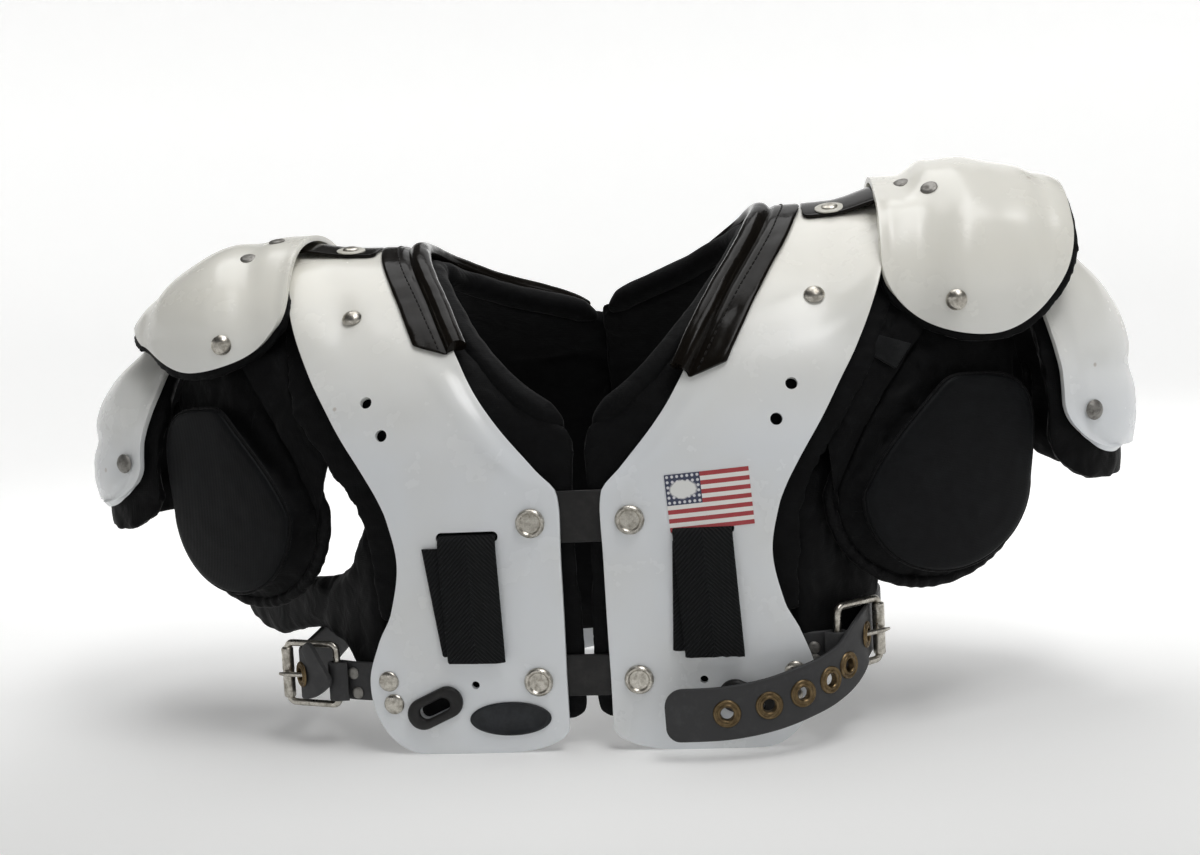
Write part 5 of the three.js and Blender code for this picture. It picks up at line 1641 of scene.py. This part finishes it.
class MakeRivets(bpy.types.Operator):
    """Set the rivets of the bars, plates, caps, straps and tabs"""

    bl_idname = "shoulder_pads.rivets"
    bl_label = "Rivets"

    def execute(self, context):
        washer_top = RIVET_PROFILES["washer"][0][1]
        models = {kind: lathe(kind, profile, 36) for kind, profile in RIVET_PROFILES.items()}

        def set_rivet(kind, name, seat, node=True, finish="worn_nickel_plate"):
            piece = copied(models[kind], name, seat)
            settle(piece, finish, "nickel", *([name] if node else []))

        for half in HALVES:
            sign, side = half["sign"], half["name"]
            arch = arch_of(half)
            cap = cap_of(half, arch, context.scene.pads_plates.cap_valley)
            for name, kind, x, z in FRONT_RIVETS:
                set_rivet(kind, f"{name}_{side}", arch.facing(arch.station(z), sign * x, RIVET_LIFT))
            s, x = half["cap_rivet"]
            set_rivet("dome", f"cap_rivet_{side}", cap.facing(s, sign * x, RIVET_LIFT))
            for number, (share, reach) in enumerate(CAP_TOP_RIVETS, 1):
                seat = cap.facing(cap.length * share, sign * reach, -RIVET_LIFT)
                set_rivet("flat", f"cap_top_rivet_{number}_{side}", seat, False, "dull_nickel_plate")
            seat = arch.facing(STRAP_RIVET["station"], sign * STRAP_RIVET["reach"], GAP + STRAP["wall"])
            set_rivet("washer", f"strap_washer_{side}", seat, False, "clear_nylon_washer")
            set_rivet("flat", f"strap_rivet_{side}", seat @ Matrix.Translation((0, 0, washer_top)), False)
            degrees, share = ARM_RIVETS[side]
            turn, level = math.radians(degrees), share * arm_height(half)
            point = arm_point(half, np.array([level]), np.array([turn * ARM_PROFILE[0][1]]), 0.0)[0]
            out = Vector((sign * math.cos(turn), math.sin(turn), 0))
            seat = pointed(Vector(point) + out * RIVET_LIFT, out)
            set_rivet("dome", f"arm_rivet_{side}", seat, finish="dull_nickel_plate")
            seat = tab_seat(half)
            for number, (along, up) in enumerate(TAB_RIVETS[side], 1):
                spot = seat @ Matrix.Translation((along, up, -0.6)) @ Matrix.Diagonal((0.72, 0.72, 0.9, 1))
                set_rivet("flat", f"tab_rivet_{number}_{side}", spot, False, "dull_nickel_plate")
        for model in models.values():
            bpy.data.objects.remove(model)
        return {"FINISHED"}


CAMERA = {"distance": 840.2, "yaw": 6.07, "rise": 4.96, "roll": -3.01, "target": (0.5, 4.0, 151.8)}
SWEEP_PROFILE = (
    (0, 0), (1200, 0), (2200, 0), (2500, 40), (2750, 160), (2900, 380), (2960, 700), (2980, 1200),
)
# Name, place in metres, size in metres and share of the key light's power
LIGHTS = (
    ("key", (0.6, -0.5, 1.8), 0.8, 1.0), ("fill", (1.2, -1.3, 0.7), 1.2, 0.04),
    ("top", (-0.1, 0.35, 1.7), 1.2, 1.0), ("back", (0.2, 1.6, 1.1), 1.2, 0.3),
    ("glint", (0.5, -1.0, 1.55), 0.35, 0.25),
)


class MakeStage(bpy.types.Operator):
    """Lay the pale floor, hang the soft lights and set the camera"""

    bl_idname = "shoulder_pads.stage"
    bl_label = "Stage"

    def execute(self, context):
        settings, scene = context.scene.pads_stage, context.scene
        profile = np.array(SWEEP_PROFILE, float)

        def swept(along, across):
            level = np.rint(along * (len(profile) - 1)).astype(int)
            angle = across * math.tau
            radius, height = profile[level].T
            return np.stack([radius * np.cos(angle), radius * np.sin(angle), height], -1)

        floor = lay_tube("floor", len(profile) - 1, 96, swept, capped=False)
        edit(floor, "flip_normals")
        smooth(floor, 60)
        # Matte painted studio floor: pale, with a faint mottle, glowing more towards the back and up the
        # walls as painted light
        tree, shader = new_material("studio_floor_with_painted_glow", Roughness=0.9, Emission_Strength=0.0)
        shader.inputs["Emission Color"].default_value = (1.0, 1.0, 1.0, 1.0)
        place = add(tree, "TexCoord").outputs["Object"]
        axes = add(tree, "SeparateXYZ", {0: place}).outputs
        near = tuple(c * 0.93 for c in settings.floor) + (1.0,)
        graded = blend(tree, ranged(tree, axes["Y"], -0.45, 0.1), near, (*settings.floor, 1.0))
        mottle = ranged(tree, cloudy(tree, place, 400, 2), 0, 1, 0.985, 1)
        tone = add(tree, "VectorMath", {0: graded, "Scale": mottle}, operation="SCALE").outputs[0]
        # Painted light: the floor glows more towards the back and up the sweep's walls, which whitens the
        # backdrop
        behind = ranged(tree, axes["Y"], -0.35, 0.5, 0, 0.5)
        wall = ranged(tree, axes["Z"], 0.05, 0.5, 0, 0.4)
        feed(tree, shader, Base_Color=tone, Emission_Strength=calc(tree, "MAXIMUM", behind, wall))
        floor.data.materials.append(bpy.data.materials["studio_floor_with_painted_glow"])
        world = bpy.data.worlds.new("sky")
        world.use_nodes = True
        sky = world.node_tree.nodes["Background"]
        sky.inputs["Color"].default_value = (1.0, 1.0, 1.0, 1.0)
        sky.inputs["Strength"].default_value = settings.sky
        scene.world = world
        aim = Vector((0, 0, 0.16))
        for name, spot, size, share in LIGHTS:
            bpy.ops.object.light_add(type="AREA", location=spot)
            light = context.active_object
            light.name = light.data.name = f"{name}_light"
            light.data.size = size
            light.data.energy = settings.key * share
            light.rotation_euler = (aim - Vector(spot)).to_track_quat("-Z", "Y").to_euler()
        yaw, rise, roll = (math.radians(CAMERA[k]) for k in ("yaw", "rise", "roll"))
        back = Vector((math.sin(yaw) * math.cos(rise), -math.cos(yaw) * math.cos(rise), math.sin(rise)))
        side = (-back).cross(Vector((0, 0, 1))).normalized()
        upward = side.cross(-back)
        across = side * math.cos(roll) + upward * math.sin(roll)
        above = upward * math.cos(roll) - side * math.sin(roll)
        bpy.ops.object.camera_add()
        camera = context.active_object
        camera.name = "camera"
        seat = turned(across, above, back)
        seat.translation = (Vector(CAMERA["target"]) + back * CAMERA["distance"]) * MM
        camera.matrix_world = seat
        camera.data.lens = settings.lens
        camera.data.sensor_width = 36.0
        camera.data.dof.use_dof = False
        camera.data.clip_start = 0.01
        scene.camera = camera
        scene.view_settings.view_transform = "Standard"
        return {"FINISHED"}


PIECES = (
    MakeMaterials, MakeArchPlates, MakeBars, MakeBodyPads, MakeNeckTrims, MakeShoulderStraps,
    MakeShoulderCaps, MakeArmCaps, MakeDeltoidPads, MakeSidePads, MakeChestWebbing, MakeFittings,
    MakeSideBelts, MakeBuckles, MakeRivets, MakeStage,
)
SETTINGS = {"pads_plates": PlateSettings, "pads_padding": PaddingSettings, "pads_stage": StageSettings}


class ShoulderPadsPanel(bpy.types.Panel):
    bl_idname = "VIEW3D_PT_shoulder_pads"
    bl_label = "Shoulder Pads"
    bl_space_type = "VIEW_3D"
    bl_region_type = "UI"
    bl_category = "Shoulder Pads"

    def draw(self, context):
        layout = self.layout
        for name in SETTINGS:
            group = getattr(context.scene, name)
            box = layout.box()
            for key in type(group).__annotations__:
                box.prop(group, key)
        for piece in PIECES:
            layout.operator(piece.bl_idname)


def register():
    for name, group in SETTINGS.items():
        bpy.utils.register_class(group)
        setattr(bpy.types.Scene, name, bpy.props.PointerProperty(type=group))
    for cls in (*PIECES, ShoulderPadsPanel):
        bpy.utils.register_class(cls)


def unregister():
    for cls in (ShoulderPadsPanel, *reversed(PIECES)):
        bpy.utils.unregister_class(cls)
    for name, group in reversed(SETTINGS.items()):
        delattr(bpy.types.Scene, name)
        bpy.utils.unregister_class(group)


def main():
    register()
    for piece in PIECES:
        group, name = piece.bl_idname.split(".")
        if getattr(getattr(bpy.ops, group), name)() != {"FINISHED"}:
            raise RuntimeError(f"{piece.bl_label} could not be made")


if __name__ == "__main__":
    main()
